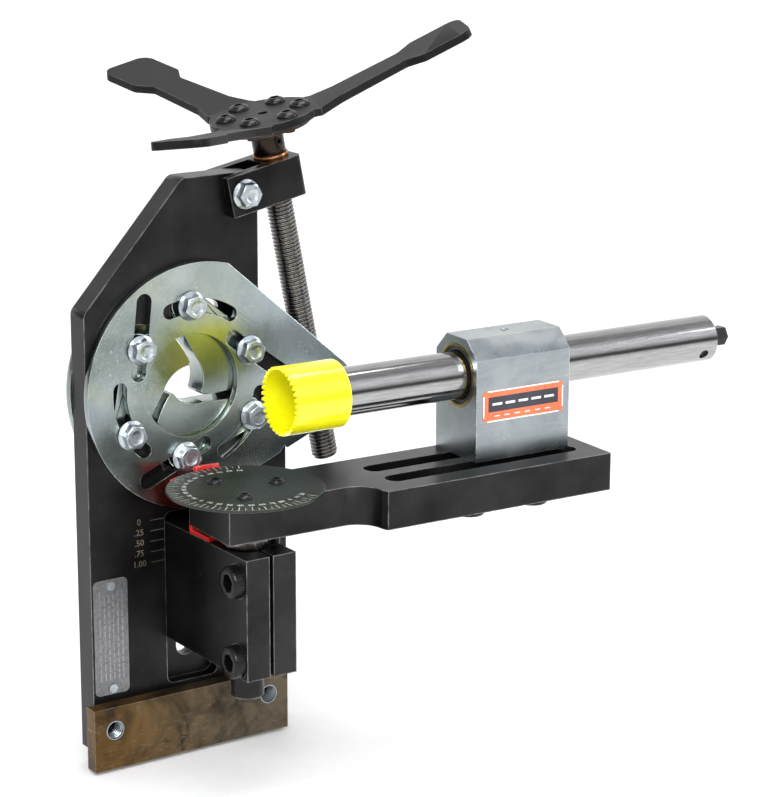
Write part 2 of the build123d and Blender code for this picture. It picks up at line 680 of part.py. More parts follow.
def bracket_washers():
    group = []
    for z in BRACKET_BOLT_ZS:
        disc = rod_y(0.5 * IN, PLATE_T + GAP, PLATE_T + GAP + PLAIN_WASHER_T, 0, z)
        group.append(disc - rod_y(BRACKET_BOLT_R + FIT, 0, PLATE_T + 10, 0, z))
    return Compound(group)


POINTER_T = 2.4
POINTER_R = DIAL_R + 0.8        # inside of the lip that stands round the dial
POINTER_SPAN = (76, 122)        # the lip and its shelf, in degrees about the post
INDEX_RISE = 1.6                # how far that part stands above the dial
INDEX_SPAN = (78, 97)           # the taller part that is read against the dial
SWEEP_R = 1.335 * IN            # just clear of the arm's hub corners as it swings
POINTER_SCREW_XS = (-0.42 * IN, 0.42 * IN)
POINTER_SCREW_Y = POST_Y + 0.95 * IN
POINTER_SCREW_R = 2.1


def ring_sector(inner, outer, start, end):
    """Part of a flat ring between two angles, in degrees."""
    middle = (start + end) / 2
    outside = ThreePointArc(polar(outer, start), polar(outer, middle), polar(outer, end))
    inside = ThreePointArc(polar(inner, end), polar(inner, middle), polar(inner, start))
    sides = [Line(outside @ 1, inside @ 0), Line(inside @ 1, outside @ 0)]
    return make_face(Curve() + [outside, inside] + sides)


def angle_pointer():
    """Bent sheet: a foot on the bracket, a web, a shelf under the dial and a lip round its rim."""
    start = POST_FLANGE_R + 1
    depth = SWEEP_R + POINTER_T - start
    width = 2 * BRACKET_HALF_W - 1
    middle = POST_Y + start + depth / 2
    body = Pos(0, middle, BRACKET_TOP + POINTER_T / 2) * Box(width, depth, POINTER_T)
    shelf_top = ARM_TOP - GAP
    web = Pos(0, SWEEP_R + POINTER_T / 2) * Rectangle(width, POINTER_T)
    body += layer(Pos(0, POST_Y) * web, BRACKET_TOP, shelf_top)
    shelf = ring_sector(SWEEP_R, POINTER_R + POINTER_T, *POINTER_SPAN)
    body += layer(Pos(0, POST_Y) * shelf, shelf_top - POINTER_T, shelf_top)
    lip = ring_sector(POINTER_R, POINTER_R + POINTER_T, *POINTER_SPAN)
    body += layer(Pos(0, POST_Y) * lip, shelf_top - POINTER_T, ARM_TOP)
    index = ring_sector(POINTER_R, POINTER_R + POINTER_T, *INDEX_SPAN)
    body += layer(Pos(0, POST_Y) * index, ARM_TOP, ARM_TOP + DIAL_T + INDEX_RISE)
    for x in POINTER_SCREW_XS:
        body -= rod_z(POINTER_SCREW_R + FIT, BRACKET_TOP - 1, -2.2 * IN, x, POINTER_SCREW_Y)
    return body


def pointer_screws():
    screw = button_screw(POINTER_SCREW_R, 4.0, 2.2, 7)
    spots = [Pos(x, POINTER_SCREW_Y, BRACKET_TOP + POINTER_T) for x in POINTER_SCREW_XS]
    return Compound([spot * screw for spot in spots])


# ---------------------------------------------------------------- swing arm

def arm_outline():
    """Seen from above, about the post axis: a square hub, a neck and a wider end."""
    corner = (ARM_WIDE_X, -ARM_WIDE)
    fillet_x = ARM_WIDE_X - 0.06 * IN
    start = (fillet_x - ARM_FILLET, -ARM_NEAR)
    bend = (fillet_x - ARM_FILLET * 0.29, -ARM_NEAR - ARM_FILLET * 0.29)
    end = (fillet_x, -ARM_NEAR - ARM_FILLET)
    return make_face(Curve() + [
        Polyline(start, (ARM_HUB_X, -ARM_NEAR), (ARM_HUB_X, ARM_FAR), (ARM_END_X, ARM_FAR)),
        Polyline((ARM_END_X, ARM_FAR), (ARM_END_X, -ARM_WIDE), corner, end),
        ThreePointArc(end, bend, start),
    ])


def arm_slot(y):
    length = ARM_SLOT_END - ARM_SLOT_START
    middle = (ARM_SLOT_END + ARM_SLOT_START) / 2
    return Pos(middle, y) * SlotOverall(length, 2 * ARM_SLOT_HALF_W)


def dial_screw_spots():
    return [polar(DIAL_SCREW_R, 120 * k) for k in range(3)]


def swing_arm():
    outline = arm_outline() - arm_slot(0) - arm_slot(-ARM_SLOT_PITCH)
    arm = layer(Pos(0, POST_Y) * outline, ARM_TOP - ARM_T, ARM_TOP)
    arm -= rod_z(POST_R + FIT, ARM_TOP - ARM_T - 1, ARM_TOP + 1, 0, POST_Y)
    arm -= rod_z(STOP_R + FIT, ARM_TOP - ARM_T - 1, ARM_TOP - ARM_T + 8, STOP_X, STOP_Y)
    for x, y in dial_screw_spots():
        arm -= rod_z(DIAL_SCREW_SHANK + FIT, ARM_TOP - 10, ARM_TOP + 1, x, POST_Y + y)
    return arm


DIAL_SCREW_SHANK = 0.094 * IN
STOP_X = 0.55 * IN
STOP_Y = POST_Y - 0.36 * IN
STOP_DROP = 0.32 * IN
STOP_R = 0.1 * IN


def pivot_post():
    post = rod_z(POST_R, POST_BOTTOM, ARM_TOP - 0.5, 0, POST_Y)
    return chamfer(post.edges().group_by(Axis.Z)[0], 1.2)


def post_collar():
    """Spacer that carries the arm on the bracket."""
    ring = rod_z(POST_FLANGE_R, BRACKET_TOP + GAP, ARM_TOP - ARM_T, 0, POST_Y)
    return ring - rod_z(POST_R + FIT, BRACKET_TOP - 1, ARM_TOP, 0, POST_Y)


def stop_pin():
    low = ARM_TOP - ARM_T - STOP_DROP
    return rod_z(STOP_R, low, ARM_TOP - ARM_T + 7, STOP_X, STOP_Y)


def degree_dial():
    dial = rod_z(DIAL_R, ARM_TOP, ARM_TOP + DIAL_T, 0, POST_Y)
    for x, y in dial_screw_spots():
        dial -= rod_z(DIAL_SCREW_SHANK + FIT, ARM_TOP - 1, ARM_TOP + 5, x, POST_Y + y)
    return dial


def dial_screws():
    screw = button_screw(DIAL_SCREW_SHANK, 0.18 * IN, 0.1 * IN, 9)
    spots = [Pos(x, POST_Y + y, ARM_TOP + DIAL_T) for x, y in dial_screw_spots()]
    return Compound([spot * screw for spot in spots])


# ---------------------------------------------------------------- bearing block

def block_outline():
    """End view of the block, in Y and Z about the spindle axis."""
    half = BLOCK_W / 2
    corners = [
        (-half, ARM_TOP),
        (half, ARM_TOP),
        (half, BLOCK_TOP - BLOCK_CHAMFER),
        (half - BLOCK_CHAMFER, BLOCK_TOP),
        (BLOCK_CHAMFER - half, BLOCK_TOP),
        (-half, BLOCK_TOP - BLOCK_CHAMFER),
    ]
    return make_face(Polyline(*corners, close=True))


def block_bolt_xs():
    return [BLOCK_X - BLOCK_BOLT_PITCH / 2, BLOCK_X + BLOCK_BOLT_PITCH / 2]


def bearing_block():
    start = BLOCK_X - BLOCK_L / 2
    block = extrude(Plane.YZ * block_outline(), amount=BLOCK_L)
    block = Pos(start, POST_Y, 0) * block
    block -= rod_x(CUP_R - CUP_T, start - 1, start + BLOCK_L + 1, POST_Y, 0)
    for x0, x1 in cup_spans() + seal_spans():
        block -= rod_x(CUP_R, x0, x1, POST_Y, 0)
    for x0, x1 in seal_spans():
        block -= rod_x(SEAL_R, x0, x1, POST_Y, 0)
    for x in block_bolt_xs():
        block -= rod_z(BLOCK_BOLT_R + FIT, ARM_TOP - 1, ARM_TOP + 0.75 * IN, x, POST_Y)
    grease_low = CUP_R - CUP_T
    block -= rod_z(GREASE_R + FIT, grease_low, BLOCK_TOP + 1, BLOCK_X, POST_Y)
    return block


GREASE_R = 0.125 * IN


def seal_spans():
    start = BLOCK_X - BLOCK_L / 2
    end = BLOCK_X + BLOCK_L / 2
    return [(start, start + SEAL_T), (end - SEAL_T, end)]


def cup_spans():
    start = BLOCK_X - BLOCK_L / 2 + SEAL_T
    end = BLOCK_X + BLOCK_L / 2 - SEAL_T
    return [(start, start + CUP_L), (end - CUP_L, end)]


def bearing_cups():
    """Drawn cups of the two needle bearings."""
    group = []
    for x0, x1 in cup_spans():
        cup = rod_x(CUP_R, x0, x1, POST_Y, 0)
        group.append(cup - rod_x(CUP_R - CUP_T, x0 - 1, x1 + 1, POST_Y, 0))
    return Compound(group)


def shaft_seals():
    group = []
    for x0, x1 in seal_spans():
        ring = rod_x(SEAL_R, x0, x1, POST_Y, 0)
        group.append(ring - rod_x(SPINDLE_R + GAP, x0 - 1, x1 + 1, POST_Y, 0))
    return Compound(group)


NEEDLE_GAP = 0.08               # radial clearance of the needles to the cup and to the spindle


def needle_ring():
    """Radius of the needles and of the circle that their axes lie on."""
    inner = SPINDLE_R + NEEDLE_GAP
    outer = CUP_R - CUP_T - NEEDLE_GAP
    return (outer - inner) / 2, (outer + inner) / 2


def needle_spots():
    pitch = needle_ring()[1]
    return [polar(pitch, 360 / NEEDLE_COUNT * k) for k in range(NEEDLE_COUNT)]


def needle_rollers():
    radius = needle_ring()[0]
    group = []
    for x0, x1 in cup_spans():
        for y, z in needle_spots():
            group.append(rod_x(radius, x0 + 3, x1 - 3, POST_Y + y, z))
    return Compound(group)


def needle_cages():
    """Cage of each needle bearing: a sleeve with a pocket for every needle."""
    radius, pitch = needle_ring()
    group = []
    for x0, x1 in cup_spans():
        sleeve = rod_x(pitch + radius * 0.6, x0 + 1, x1 - 1, POST_Y, 0)
        sleeve -= rod_x(pitch - radius * 0.6, x0, x1, POST_Y, 0)
        pockets = [rod_x(radius + 0.1, x0 + 2.8, x1 - 2.8, POST_Y + y, z) for y, z in needle_spots()]
        group.append(sleeve - pockets)
    return Compound(group)


def grease_screw():
    screw = rod_z(GREASE_R, CUP_R + 1, BLOCK_TOP - 0.5, BLOCK_X, POST_Y)
    return screw - layer(Pos(BLOCK_X, POST_Y) * hexagon(3), BLOCK_TOP - 3, BLOCK_TOP + 1)


def block_bolts():
    """Socket head screws up through the arm's slot into the block."""
    seat = ARM_TOP - ARM_T - PLAIN_WASHER_T
    group = []
    for x in block_bolt_xs():
        head = rod_z(CAP_HEAD_R, seat - CAP_HEAD_H, seat, x, POST_Y)
        head -= layer(Pos(x, POST_Y) * hexagon(CAP_SOCKET_AF), seat - CAP_HEAD_H - 1,
                      seat - CAP_HEAD_H + CAP_SOCKET_D)
        group.append(head + rod_z(BLOCK_BOLT_R, seat, ARM_TOP + 0.7 * IN, x, POST_Y))
    return Compound(group)


def block_washers():
    top = ARM_TOP - ARM_T
    group = []
    for x in block_bolt_xs():
        disc = rod_z(0.53 * IN, top - PLAIN_WASHER_T, top, x, POST_Y)
        group.append(disc - rod_z(BLOCK_BOLT_R + FIT, top - 5, top + 1, x, POST_Y))
    return Compound(group)


def label_plate():
    """Blank label on the front of the block."""
    front = POST_Y - BLOCK_W / 2
    outline = Pos(BLOCK_X, LABEL_Z) * RectangleRounded(LABEL_W, LABEL_H, LABEL_CORNER_R)
    return slab(outline, front - LABEL_T, front)


# ---------------------------------------------------------------- spindle

def spindle():
    shaft = rod_x(SPINDLE_R, SPINDLE_START, SPINDLE_END, POST_Y, 0)
    shaft = chamfer(shaft.edges().filter_by(GeomType.CIRCLE), 1.2)
    shaft -= rod_x(ARBOR_R + FIT, SPINDLE_START - 1, SPINDLE_START + 0.75 * IN, POST_Y, 0)
    socket = extrude(hexagon(HEX_AF + 4 * FIT), amount=HEX_IN)
    shaft -= Pos(SPINDLE_END - HEX_IN, POST_Y, 0) * Rot(0, 90, 0) * Rot(0, 0, 30) * socket
    shaft -= set_screw_rod(SET_SCREW_R + FIT, SPINDLE_R + 1)
    return shaft


SET_SCREW_R = 0.125 * IN
SET_SCREW_X = SPINDLE_END - 0.4 * IN
SET_SCREW_ANGLE = 30            # below the horizontal, towards the front
SET_SCREW_SUNK = 1.5


def set_screw_rod(radius, outer):
    """Radial rod from the drive hexagon outwards."""
    inner = HEX_AF / 2 + 3 * FIT
    rod = Rot(90, 0, 0) * Pos(0, 0, (outer + inner) / 2) * Cylinder(radius, outer - inner)
    return Pos(SET_SCREW_X, POST_Y, 0) * Rot(SET_SCREW_ANGLE, 0, 0) * rod


def drive_set_screw():
    return set_screw_rod(SET_SCREW_R, SPINDLE_R - SET_SCREW_SUNK)


def drive_hex():
    """Hexagon shank for a drill chuck, held in the spindle's end."""
    bar = extrude(hexagon(HEX_AF), amount=HEX_IN + HEX_OUT - 1)
    return Pos(SPINDLE_END - HEX_IN + 1, POST_Y, 0) * Rot(0, 90, 0) * Rot(0, 0, 30) * bar


def hole_saw():
    """Thin cup with a toothed rim that faces -X."""
    cup = rod_x(SAW_R, SAW_START, SPINDLE_START - GAP / 4, POST_Y, 0)
    cup -= rod_x(SAW_R - SAW_WALL, SAW_START - 1, SPINDLE_START - SAW_BACK_T, POST_Y, 0)
    cup -= rod_x(ARBOR_R + FIT, SAW_START, SPINDLE_START + 1, POST_Y, 0)
    pitch = 2 * pi * SAW_R / SAW_TEETH
    notch = make_face(Polyline((-1, -0.4 * pitch), (-1, 0.45 * pitch), (TOOTH_H, 0.1 * pitch), close=True))
    cutter = extrude(notch, amount=2 * SAW_WALL, both=True)
    cutters = []
    for k in range(SAW_TEETH):
        spot = Rot(360 / SAW_TEETH * k, 0, 0) * Pos(0, 0, SAW_R)
        cutters.append(Pos(SAW_START, POST_Y, 0) * spot * cutter)
    return cup - cutters


def saw_arbor():
    """Threaded stub and nut that hold the saw on the spindle, with a pilot socket."""
    stub = rod_x(ARBOR_R, SPINDLE_START - 0.55 * IN, SPINDLE_START + 0.7 * IN, POST_Y, 0)
    nut = extrude(hexagon(0.94 * IN), amount=0.3 * IN)
    seat = SPINDLE_START - SAW_BACK_T - 0.3 * IN
    stub += Pos(seat, POST_Y, 0) * Rot(0, 90, 0) * nut
    return stub - rod_x(3.2, SPINDLE_START - 0.6 * IN, SPINDLE_START, POST_Y, 0)


FIXED_PARTS = (back_plate, mounting_bar, bar_screws, data_plate, data_plate_rivets)
VISE_PARTS = (front_cam_plate, rear_cam_plate, yoke_block, thrust_bush, leadscrew, drive_collar,
              collar_set_screw, handle_flange, handle_spider, handle_screws, barrel_nut)
BRACKET_PARTS = (pivot_bracket, clamp_screws, bracket_bolts, bracket_washers, angle_pointer,
                 pointer_screws)
ARM_PARTS = (swing_arm, pivot_post, post_collar, stop_pin, degree_dial, dial_screws,
             bearing_block, bearing_cups, shaft_seals, needle_rollers, needle_cages, grease_screw,
             block_bolts, block_washers, label_plate, spindle, drive_set_screw, drive_hex,
             hole_saw, saw_arbor)


def main():
    os.makedirs("parts", exist_ok=True)
    for build in FIXED_PARTS + VISE_PARTS + BRACKET_PARTS:
        save(build.__name__, build())
    for build in ARM_PARTS:
        save(build.__name__, on_arm(build()))
    save("pivot_bolts", Compound([through_bolt(*p) for p in pivot_points()]))
    save("pivot_nuts", Compound([through_nut(*p) for p in pivot_points()]))
    for k, side in enumerate(("left", "lower", "right")):
        pin = cam_pin_points()[k]
        save(side + "_jaw", jaw(k))
        save(side + "_cam_bolt", through_bolt(*pin))
        save(side + "_cam_nut", through_nut(*pin))
    yoke_seat = PLATE_T / 2 - YOKE_D / 2 - GAP
    yoke_rear = PLATE_T / 2 + YOKE_D / 2 + GAP
    save("yoke_bolt", flange_bolt(*YOKE_PIVOT, yoke_seat, yoke_rear + NUT_T + 2))
    save("yoke_nut", flange_nut(*YOKE_PIVOT, yoke_rear))


main()
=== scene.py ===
import json
from math import cos, pi, radians, sin

import bmesh
import bpy
import numpy as np
from mathutils import Matrix, Vector


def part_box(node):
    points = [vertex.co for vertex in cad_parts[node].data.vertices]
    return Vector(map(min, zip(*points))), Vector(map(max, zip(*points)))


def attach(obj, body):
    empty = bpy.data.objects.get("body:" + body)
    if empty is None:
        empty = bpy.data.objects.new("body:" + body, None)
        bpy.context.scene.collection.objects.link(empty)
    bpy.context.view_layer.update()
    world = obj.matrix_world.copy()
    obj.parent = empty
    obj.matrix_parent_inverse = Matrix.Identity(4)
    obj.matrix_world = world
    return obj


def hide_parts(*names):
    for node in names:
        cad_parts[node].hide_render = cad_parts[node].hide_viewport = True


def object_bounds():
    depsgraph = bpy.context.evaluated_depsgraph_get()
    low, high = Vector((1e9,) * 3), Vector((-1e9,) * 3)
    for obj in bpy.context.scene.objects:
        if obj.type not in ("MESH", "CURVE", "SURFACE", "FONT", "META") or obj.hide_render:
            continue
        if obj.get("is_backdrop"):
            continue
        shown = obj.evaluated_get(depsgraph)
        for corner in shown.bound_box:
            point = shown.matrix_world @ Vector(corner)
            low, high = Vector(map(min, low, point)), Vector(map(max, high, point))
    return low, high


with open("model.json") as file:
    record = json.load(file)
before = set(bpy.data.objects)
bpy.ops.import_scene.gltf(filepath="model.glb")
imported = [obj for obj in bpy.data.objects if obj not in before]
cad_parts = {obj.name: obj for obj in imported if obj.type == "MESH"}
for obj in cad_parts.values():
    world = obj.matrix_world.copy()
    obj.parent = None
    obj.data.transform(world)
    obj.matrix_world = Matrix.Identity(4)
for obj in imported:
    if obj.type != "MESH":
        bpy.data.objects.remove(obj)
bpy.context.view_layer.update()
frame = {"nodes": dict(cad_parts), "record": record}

NODES = frame["nodes"]
JOINTS = {j["name"]: j for j in frame["record"]["behaviour"]["joints"]}
MM = 0.001
IN = 0.0254

# ------------------------------------------------------------------ materials


class Graph:
    """A node material with short names for what it is built from."""

    def __init__(self, name):
        self.mat = bpy.data.materials.new(name)
        self.mat.use_nodes = True
        self.tree = self.mat.node_tree
        self.shader = self.tree.nodes["Principled BSDF"]
        coord = self.tree.nodes.new("ShaderNodeTexCoord")
        self.place = coord.outputs["Object"]

    def stretch(self, scale, turn=(0, 0, 0)):
        """Object coordinates, scaled (and turned) for streaks."""
        node = self.tree.nodes.new("ShaderNodeMapping")
        node.inputs["Scale"].default_value = scale
        node.inputs["Rotation"].default_value = turn
        self.tree.links.new(self.place, node.inputs["Vector"])
        return node.outputs["Vector"]

    def put(self, socket, value):
        if isinstance(value, bpy.types.NodeSocket):
            self.tree.links.new(value, socket)
        else:
            socket.default_value = value

    def noise(self, scale, detail=4.0, rough=0.55, place=None, distort=0.0):
        node = self.tree.nodes.new("ShaderNodeTexNoise")
        node.inputs["Scale"].default_value = scale
        node.inputs["Detail"].default_value = detail
        node.inputs["Roughness"].default_value = rough
        node.inputs["Distortion"].default_value = distort
        self.tree.links.new(place or self.place, node.inputs["Vector"])
        return node.outputs["Fac"]

    def axis(self, name):
        """One of the object coordinates, in metres."""
        node = self.tree.nodes.new("ShaderNodeSeparateXYZ")
        self.tree.links.new(self.place, node.inputs["Vector"])
        return node.outputs[name]

    def span(self, value, low, high, to_low=0.0, to_high=1.0):
        node = self.tree.nodes.new("ShaderNodeMapRange")
        self.put(node.inputs["Value"], value)
        for key, number in zip(("From Min", "From Max", "To Min", "To Max"),
                               (low, high, to_low, to_high)):
            node.inputs[key].default_value = number
        return node.outputs["Result"]

    def math(self, kind, a, b):
        node = self.tree.nodes.new("ShaderNodeMath")
        node.operation = kind
        node.use_clamp = True
        self.put(node.inputs[0], a)
        self.put(node.inputs[1], b)
        return node.outputs["Value"]

    def mix(self, factor, a, b):
        node = self.tree.nodes.new("ShaderNodeMix")
        node.data_type = "RGBA"
        self.put(node.inputs["Factor"], factor)
        colours = [s for s in node.inputs if s.type == "RGBA"]
        self.put(colours[0], a if isinstance(a, bpy.types.NodeSocket) else (*a, 1))
        self.put(colours[1], b if isinstance(b, bpy.types.NodeSocket) else (*b, 1))
        return [s for s in node.outputs if s.type == "RGBA"][0]

    def edges(self, radius):
        """1 on convex or concave edges, 0 on flats, broken up by noise."""
        bevel = self.tree.nodes.new("ShaderNodeBevel")
        bevel.samples = 4
        bevel.inputs["Radius"].default_value = radius
        geometry = self.tree.nodes.new("ShaderNodeNewGeometry")
        dot = self.tree.nodes.new("ShaderNodeVectorMath")
        dot.operation = "DOT_PRODUCT"
        self.tree.links.new(bevel.outputs["Normal"], dot.inputs[0])
        self.tree.links.new(geometry.outputs["Normal"], dot.inputs[1])
        mask = self.span(dot.outputs["Value"], 0.985, 0.86)
        broken = self.span(self.noise(150, 4), 0.36, 0.60, 0.30, 1.0)
        return self.math("MULTIPLY", mask, broken)

    def bump(self, height, distance, strength=1.0):
        node = self.tree.nodes.new("ShaderNodeBump")
        node.inputs["Strength"].default_value = strength
        node.inputs["Distance"].default_value = distance
        self.put(node.inputs["Height"], height)
        self.tree.links.new(node.outputs["Normal"], self.shader.inputs["Normal"])

    def set(self, **values):
        names = {"color": "Base Color", "rough": "Roughness", "metal": "Metallic",
                 "coat": "Coat Weight", "coat_rough": "Coat Roughness",
                 "specular": "Specular IOR Level", "anisotropic": "Anisotropic"}
        for key, value in values.items():
            if isinstance(value, tuple):
                value = (*value, 1)
            self.put(self.shader.inputs[names[key]], value)
        return self.mat


def dark_steel(name, low, high, edge, wear=0.7, rough=(0.30, 0.50), metal=0.75, radius=0.0006):
    """Black or brown oxide: cloudy colour, mill grain, rubbed edges."""
    g = Graph(name)
    cloud = g.noise(14, 5, 0.6)
    grain = g.noise(60, 3, 0.6, g.stretch((1, 1, 22)))
    speck = g.noise(900, 2)
    colour = g.mix(g.span(cloud, 0.35, 0.68), low, high)
    colour = g.mix(g.span(speck, 0.62, 0.80, 0.0, 0.35), colour, high)
    worn = g.math("MULTIPLY", g.edges(radius), wear)
    colour = g.mix(worn, colour, edge)
    sheen = g.span(g.math("ADD", g.math("MULTIPLY", cloud, 0.85), g.math("MULTIPLY", grain, 0.15)),
                   0.3, 0.7, *rough)
    g.bump(g.math("ADD", g.math("MULTIPLY", grain, 0.3), g.math("MULTIPLY", speck, 0.7)),
           0.00002, 0.4)
    return g.set(color=colour, rough=sheen, metal=metal)


def bright_metal(name, low, high, rough, grain_scale, grain=300, tint=None, bump=0.00002,
                 metal=1.0, wear=0.0, radius=0.0004):
    """Bare or plated metal with directional grain and cloudy reflections."""
    g = Graph(name)
    cloud = g.noise(30, 4, 0.6)
    streak = g.noise(grain, 4, 0.65, g.stretch(grain_scale))
    colour = g.mix(g.span(streak, 0.3, 0.7), low, high)
    if tint:
        colour = g.mix(g.span(g.noise(9, 3, 0.5, distort=0.8), 0.42, 0.66, 0.0, 0.8), colour, tint)
    if wear:
        colour = g.mix(g.math("MULTIPLY", g.edges(radius), wear), colour, (0.9, 0.9, 0.9))
    sheen = g.span(g.math("ADD", g.math("MULTIPLY", cloud, 0.5), g.math("MULTIPLY", streak, 0.5)),
                   0.3, 0.7, *rough)
    g.bump(streak, bump, 0.6)
    return g.set(color=colour, rough=sheen, metal=metal)


def zinc_plate():
    """Grey-green zinc with clouds, faint yellow and violet passivation, a painted pale blue-white
    highlight towards +X, and a fine speckle.
    """
    g = Graph("zinc_plate")
    cloud = g.noise(13, 5, 0.6, distort=0.7)
    speck = g.noise(1300, 2)
    fleck = g.noise(330, 3, 0.7)
    colour = g.mix(g.span(cloud, 0.36, 0.64), (0.175, 0.215, 0.203), (0.420, 0.470, 0.450))
    colour = g.mix(g.span(g.noise(17, 3, 0.5, distort=1.2), 0.54, 0.72, 0, 0.5), colour,
                   (0.430, 0.410, 0.230))
    colour = g.mix(g.span(g.noise(23, 3, 0.5), 0.58, 0.74, 0, 0.4), colour, (0.22, 0.27, 0.40))
    # Painted highlight: the plate's colour turns pale blue-white towards +X, where the light
    # catches it, by position and not by any lamp.
    colour = g.mix(g.span(g.axis("X"), 0.03, 0.085, 0, 0.5), colour, (0.50, 0.60, 0.68))
    colour = g.mix(g.span(speck, 0.54, 0.68, 0.0, 0.35), colour, (0.52, 0.57, 0.55))
    colour = g.mix(g.span(fleck, 0.64, 0.72, 0.0, 0.4), colour, (0.74, 0.78, 0.76))
    colour = g.mix(g.math("MULTIPLY", g.edges(0.0005), 0.9), colour, (0.80, 0.86, 0.86))
    g.bump(g.math("ADD", g.math("MULTIPLY", speck, 0.6), g.math("MULTIPLY", fleck, 0.4)),
           0.00005, 0.5)
    return g.set(color=colour, rough=g.span(cloud, 0.3, 0.7, 0.17, 0.30), metal=1.0)


def paint(name, low, high, rough, coat=0.4, bump=0.00005, wear=None, metal=0.0):
    g = Graph(name)
    cloud = g.noise(40, 3)
    peel = g.noise(700, 2)
    colour = g.mix(g.span(cloud, 0.35, 0.65), low, high)
    if wear:
        colour = g.mix(g.math("MULTIPLY", g.edges(0.0004), 0.8), colour, wear)
    g.bump(peel, bump, 0.4)
    return g.set(color=colour, rough=g.span(peel, 0.3, 0.7, *rough), coat=coat,
                 coat_rough=0.1, metal=metal)


def rusty_bar():
    """Brown oxide, rusty to the left and greyer to the right, with stains and bright scratches."""
    g = Graph("bronze_oxide")
    stain = g.noise(26, 6, 0.65, distort=0.7)
    fine = g.noise(150, 5, 0.7)
    scratch = g.noise(60, 4, 0.7, g.stretch((1, 1, 34), (0, 0.10, 0)))
    rusty = g.mix(g.span(stain, 0.38, 0.60), (0.034, 0.020, 0.007), (0.150, 0.078, 0.018))
    plain = g.mix(g.span(stain, 0.38, 0.60), (0.036, 0.028, 0.018), (0.135, 0.108, 0.070))
    colour = g.mix(g.span(g.axis("X"), -0.055, 0.03), rusty, plain)
    colour = g.mix(g.span(fine, 0.55, 0.72, 0, 0.6), colour, (0.16, 0.125, 0.085))
    colour = g.mix(g.span(g.noise(48, 5, 0.7), 0.56, 0.68, 0, 0.85), colour, (0.014, 0.011, 0.009))
    bright = g.math("MULTIPLY", g.span(scratch, 0.60, 0.68), g.span(g.noise(18, 3), 0.45, 0.60))
    colour = g.mix(g.math("MULTIPLY", bright, 0.75), colour, (0.46, 0.42, 0.34))
    colour = g.mix(g.math("MULTIPLY", g.edges(0.0007), 0.8), colour, (0.40, 0.34, 0.24))
    g.bump(g.math("ADD", g.math("MULTIPLY", fine, 0.7), g.math("MULTIPLY", scratch, 0.3)),
           0.00012, 0.6)
    return g.set(color=colour, rough=g.span(stain, 0.3, 0.7, 0.30, 0.52), metal=0.75)


def milled_block():
    """Bluish milled aluminium with cloudy smears and soft vertical marks."""
    g = Graph("block_grey")
    cloud = g.noise(22, 5, 0.6, distort=0.9)
    mill = g.noise(34, 4, 0.65, g.stretch((1, 1, 9)))
    dent = g.noise(420, 2)
    colour = g.mix(g.span(cloud, 0.34, 0.64), (0.275, 0.312, 0.333), (0.400, 0.430, 0.445))
    colour = g.mix(g.span(mill, 0.50, 0.70, 0.0, 0.45), colour, (0.45, 0.46, 0.44))
    colour = g.mix(g.span(g.noise(30, 4, 0.6), 0.60, 0.72, 0.0, 0.4), colour, (0.20, 0.18, 0.15))
    colour = g.mix(g.span(dent, 0.70, 0.76, 0.0, 0.6), colour, (0.62, 0.64, 0.64))
    colour = g.mix(g.math("MULTIPLY", g.edges(0.0008), 0.9), colour, (0.86, 0.88, 0.88))
    g.bump(g.math("ADD", g.math("MULTIPLY", mill, 0.5), g.math("MULTIPLY", dent, 0.5)),
           0.00004, 0.5)
    return g.set(color=colour, rough=g.span(cloud, 0.3, 0.7, 0.22, 0.38), metal=1.0)


MATERIALS = {
    "black_oxide": dark_steel("black_oxide", (0.009, 0.009, 0.010), (0.038, 0.036, 0.035),
                              (0.46, 0.44, 0.42), 0.85, (0.26, 0.42), 0.85, 0.0010),
    "bronze_oxide": rusty_bar(),
    "black_screw": dark_steel("black_screw", (0.010, 0.010, 0.011), (0.022, 0.022, 0.024),
                              (0.20, 0.20, 0.20), 0.6, (0.20, 0.34), 0.7, 0.0003),
    "flange_brown": dark_steel("flange_brown", (0.030, 0.021, 0.016), (0.058, 0.040, 0.030),
                               (0.40, 0.30, 0.22), 0.8, (0.22, 0.38), 0.9),
    "zinc_plate": zinc_plate(),
    "zinc_bolt": bright_metal("zinc_bolt", (0.34, 0.38, 0.42), (0.58, 0.62, 0.66), (0.26, 0.42),
                              (1, 1, 1), 300, (0.40, 0.46, 0.48), 0.00008, 1.0, 0.6, 0.0003),
    "ground_steel": bright_metal("ground_steel", (0.31, 0.306, 0.30), (0.44, 0.44, 0.445),
                                 (0.10, 0.15), (1, 14, 14), 60, None, 0.000004),
    "thread_steel": bright_metal("thread_steel", (0.118, 0.112, 0.105), (0.250, 0.240, 0.228),
                                 (0.20, 0.34), (1, 1, 1), 260),
    "block_grey": milled_block(),
    "saw_yellow": paint("saw_yellow", (0.94, 0.88, 0.0), (1.0, 0.97, 0.015), (0.18, 0.30), 0.6),
    "bronze": bright_metal("bronze", (0.34, 0.15, 0.07), (0.52, 0.25, 0.13), (0.24, 0.38),
                           (1, 1, 1), 200),
    "dial_green": paint("dial_green", (0.010, 0.014, 0.012), (0.022, 0.027, 0.023), (0.30, 0.42),
                        0.08, 0.00003, (0.30, 0.33, 0.30), 0.4),
    "pointer_red": paint("pointer_red", (0.40, 0.004, 0.006), (0.66, 0.012, 0.012), (0.30, 0.48),
                         0.2, 0.00006, (0.80, 0.34, 0.30)),
    "data_grey": bright_metal("data_grey", (0.150, 0.152, 0.155), (0.250, 0.252, 0.255),
                              (0.34, 0.5), (1, 1, 1), 500, None, 0.00005, 0.85, 0.6),
    "label_print": paint("label_print", (0.80, 0.125, 0.040), (0.90, 0.165, 0.060),
                         (0.25, 0.35), 0.4),
    "seal_dark": paint("seal_dark", (0.008, 0.008, 0.008), (0.02, 0.02, 0.02), (0.3, 0.5), 0.0),
}
WHITE_INK = paint("white_ink", (0.34, 0.34, 0.30), (0.58, 0.58, 0.52), (0.45, 0.6), 0.0)
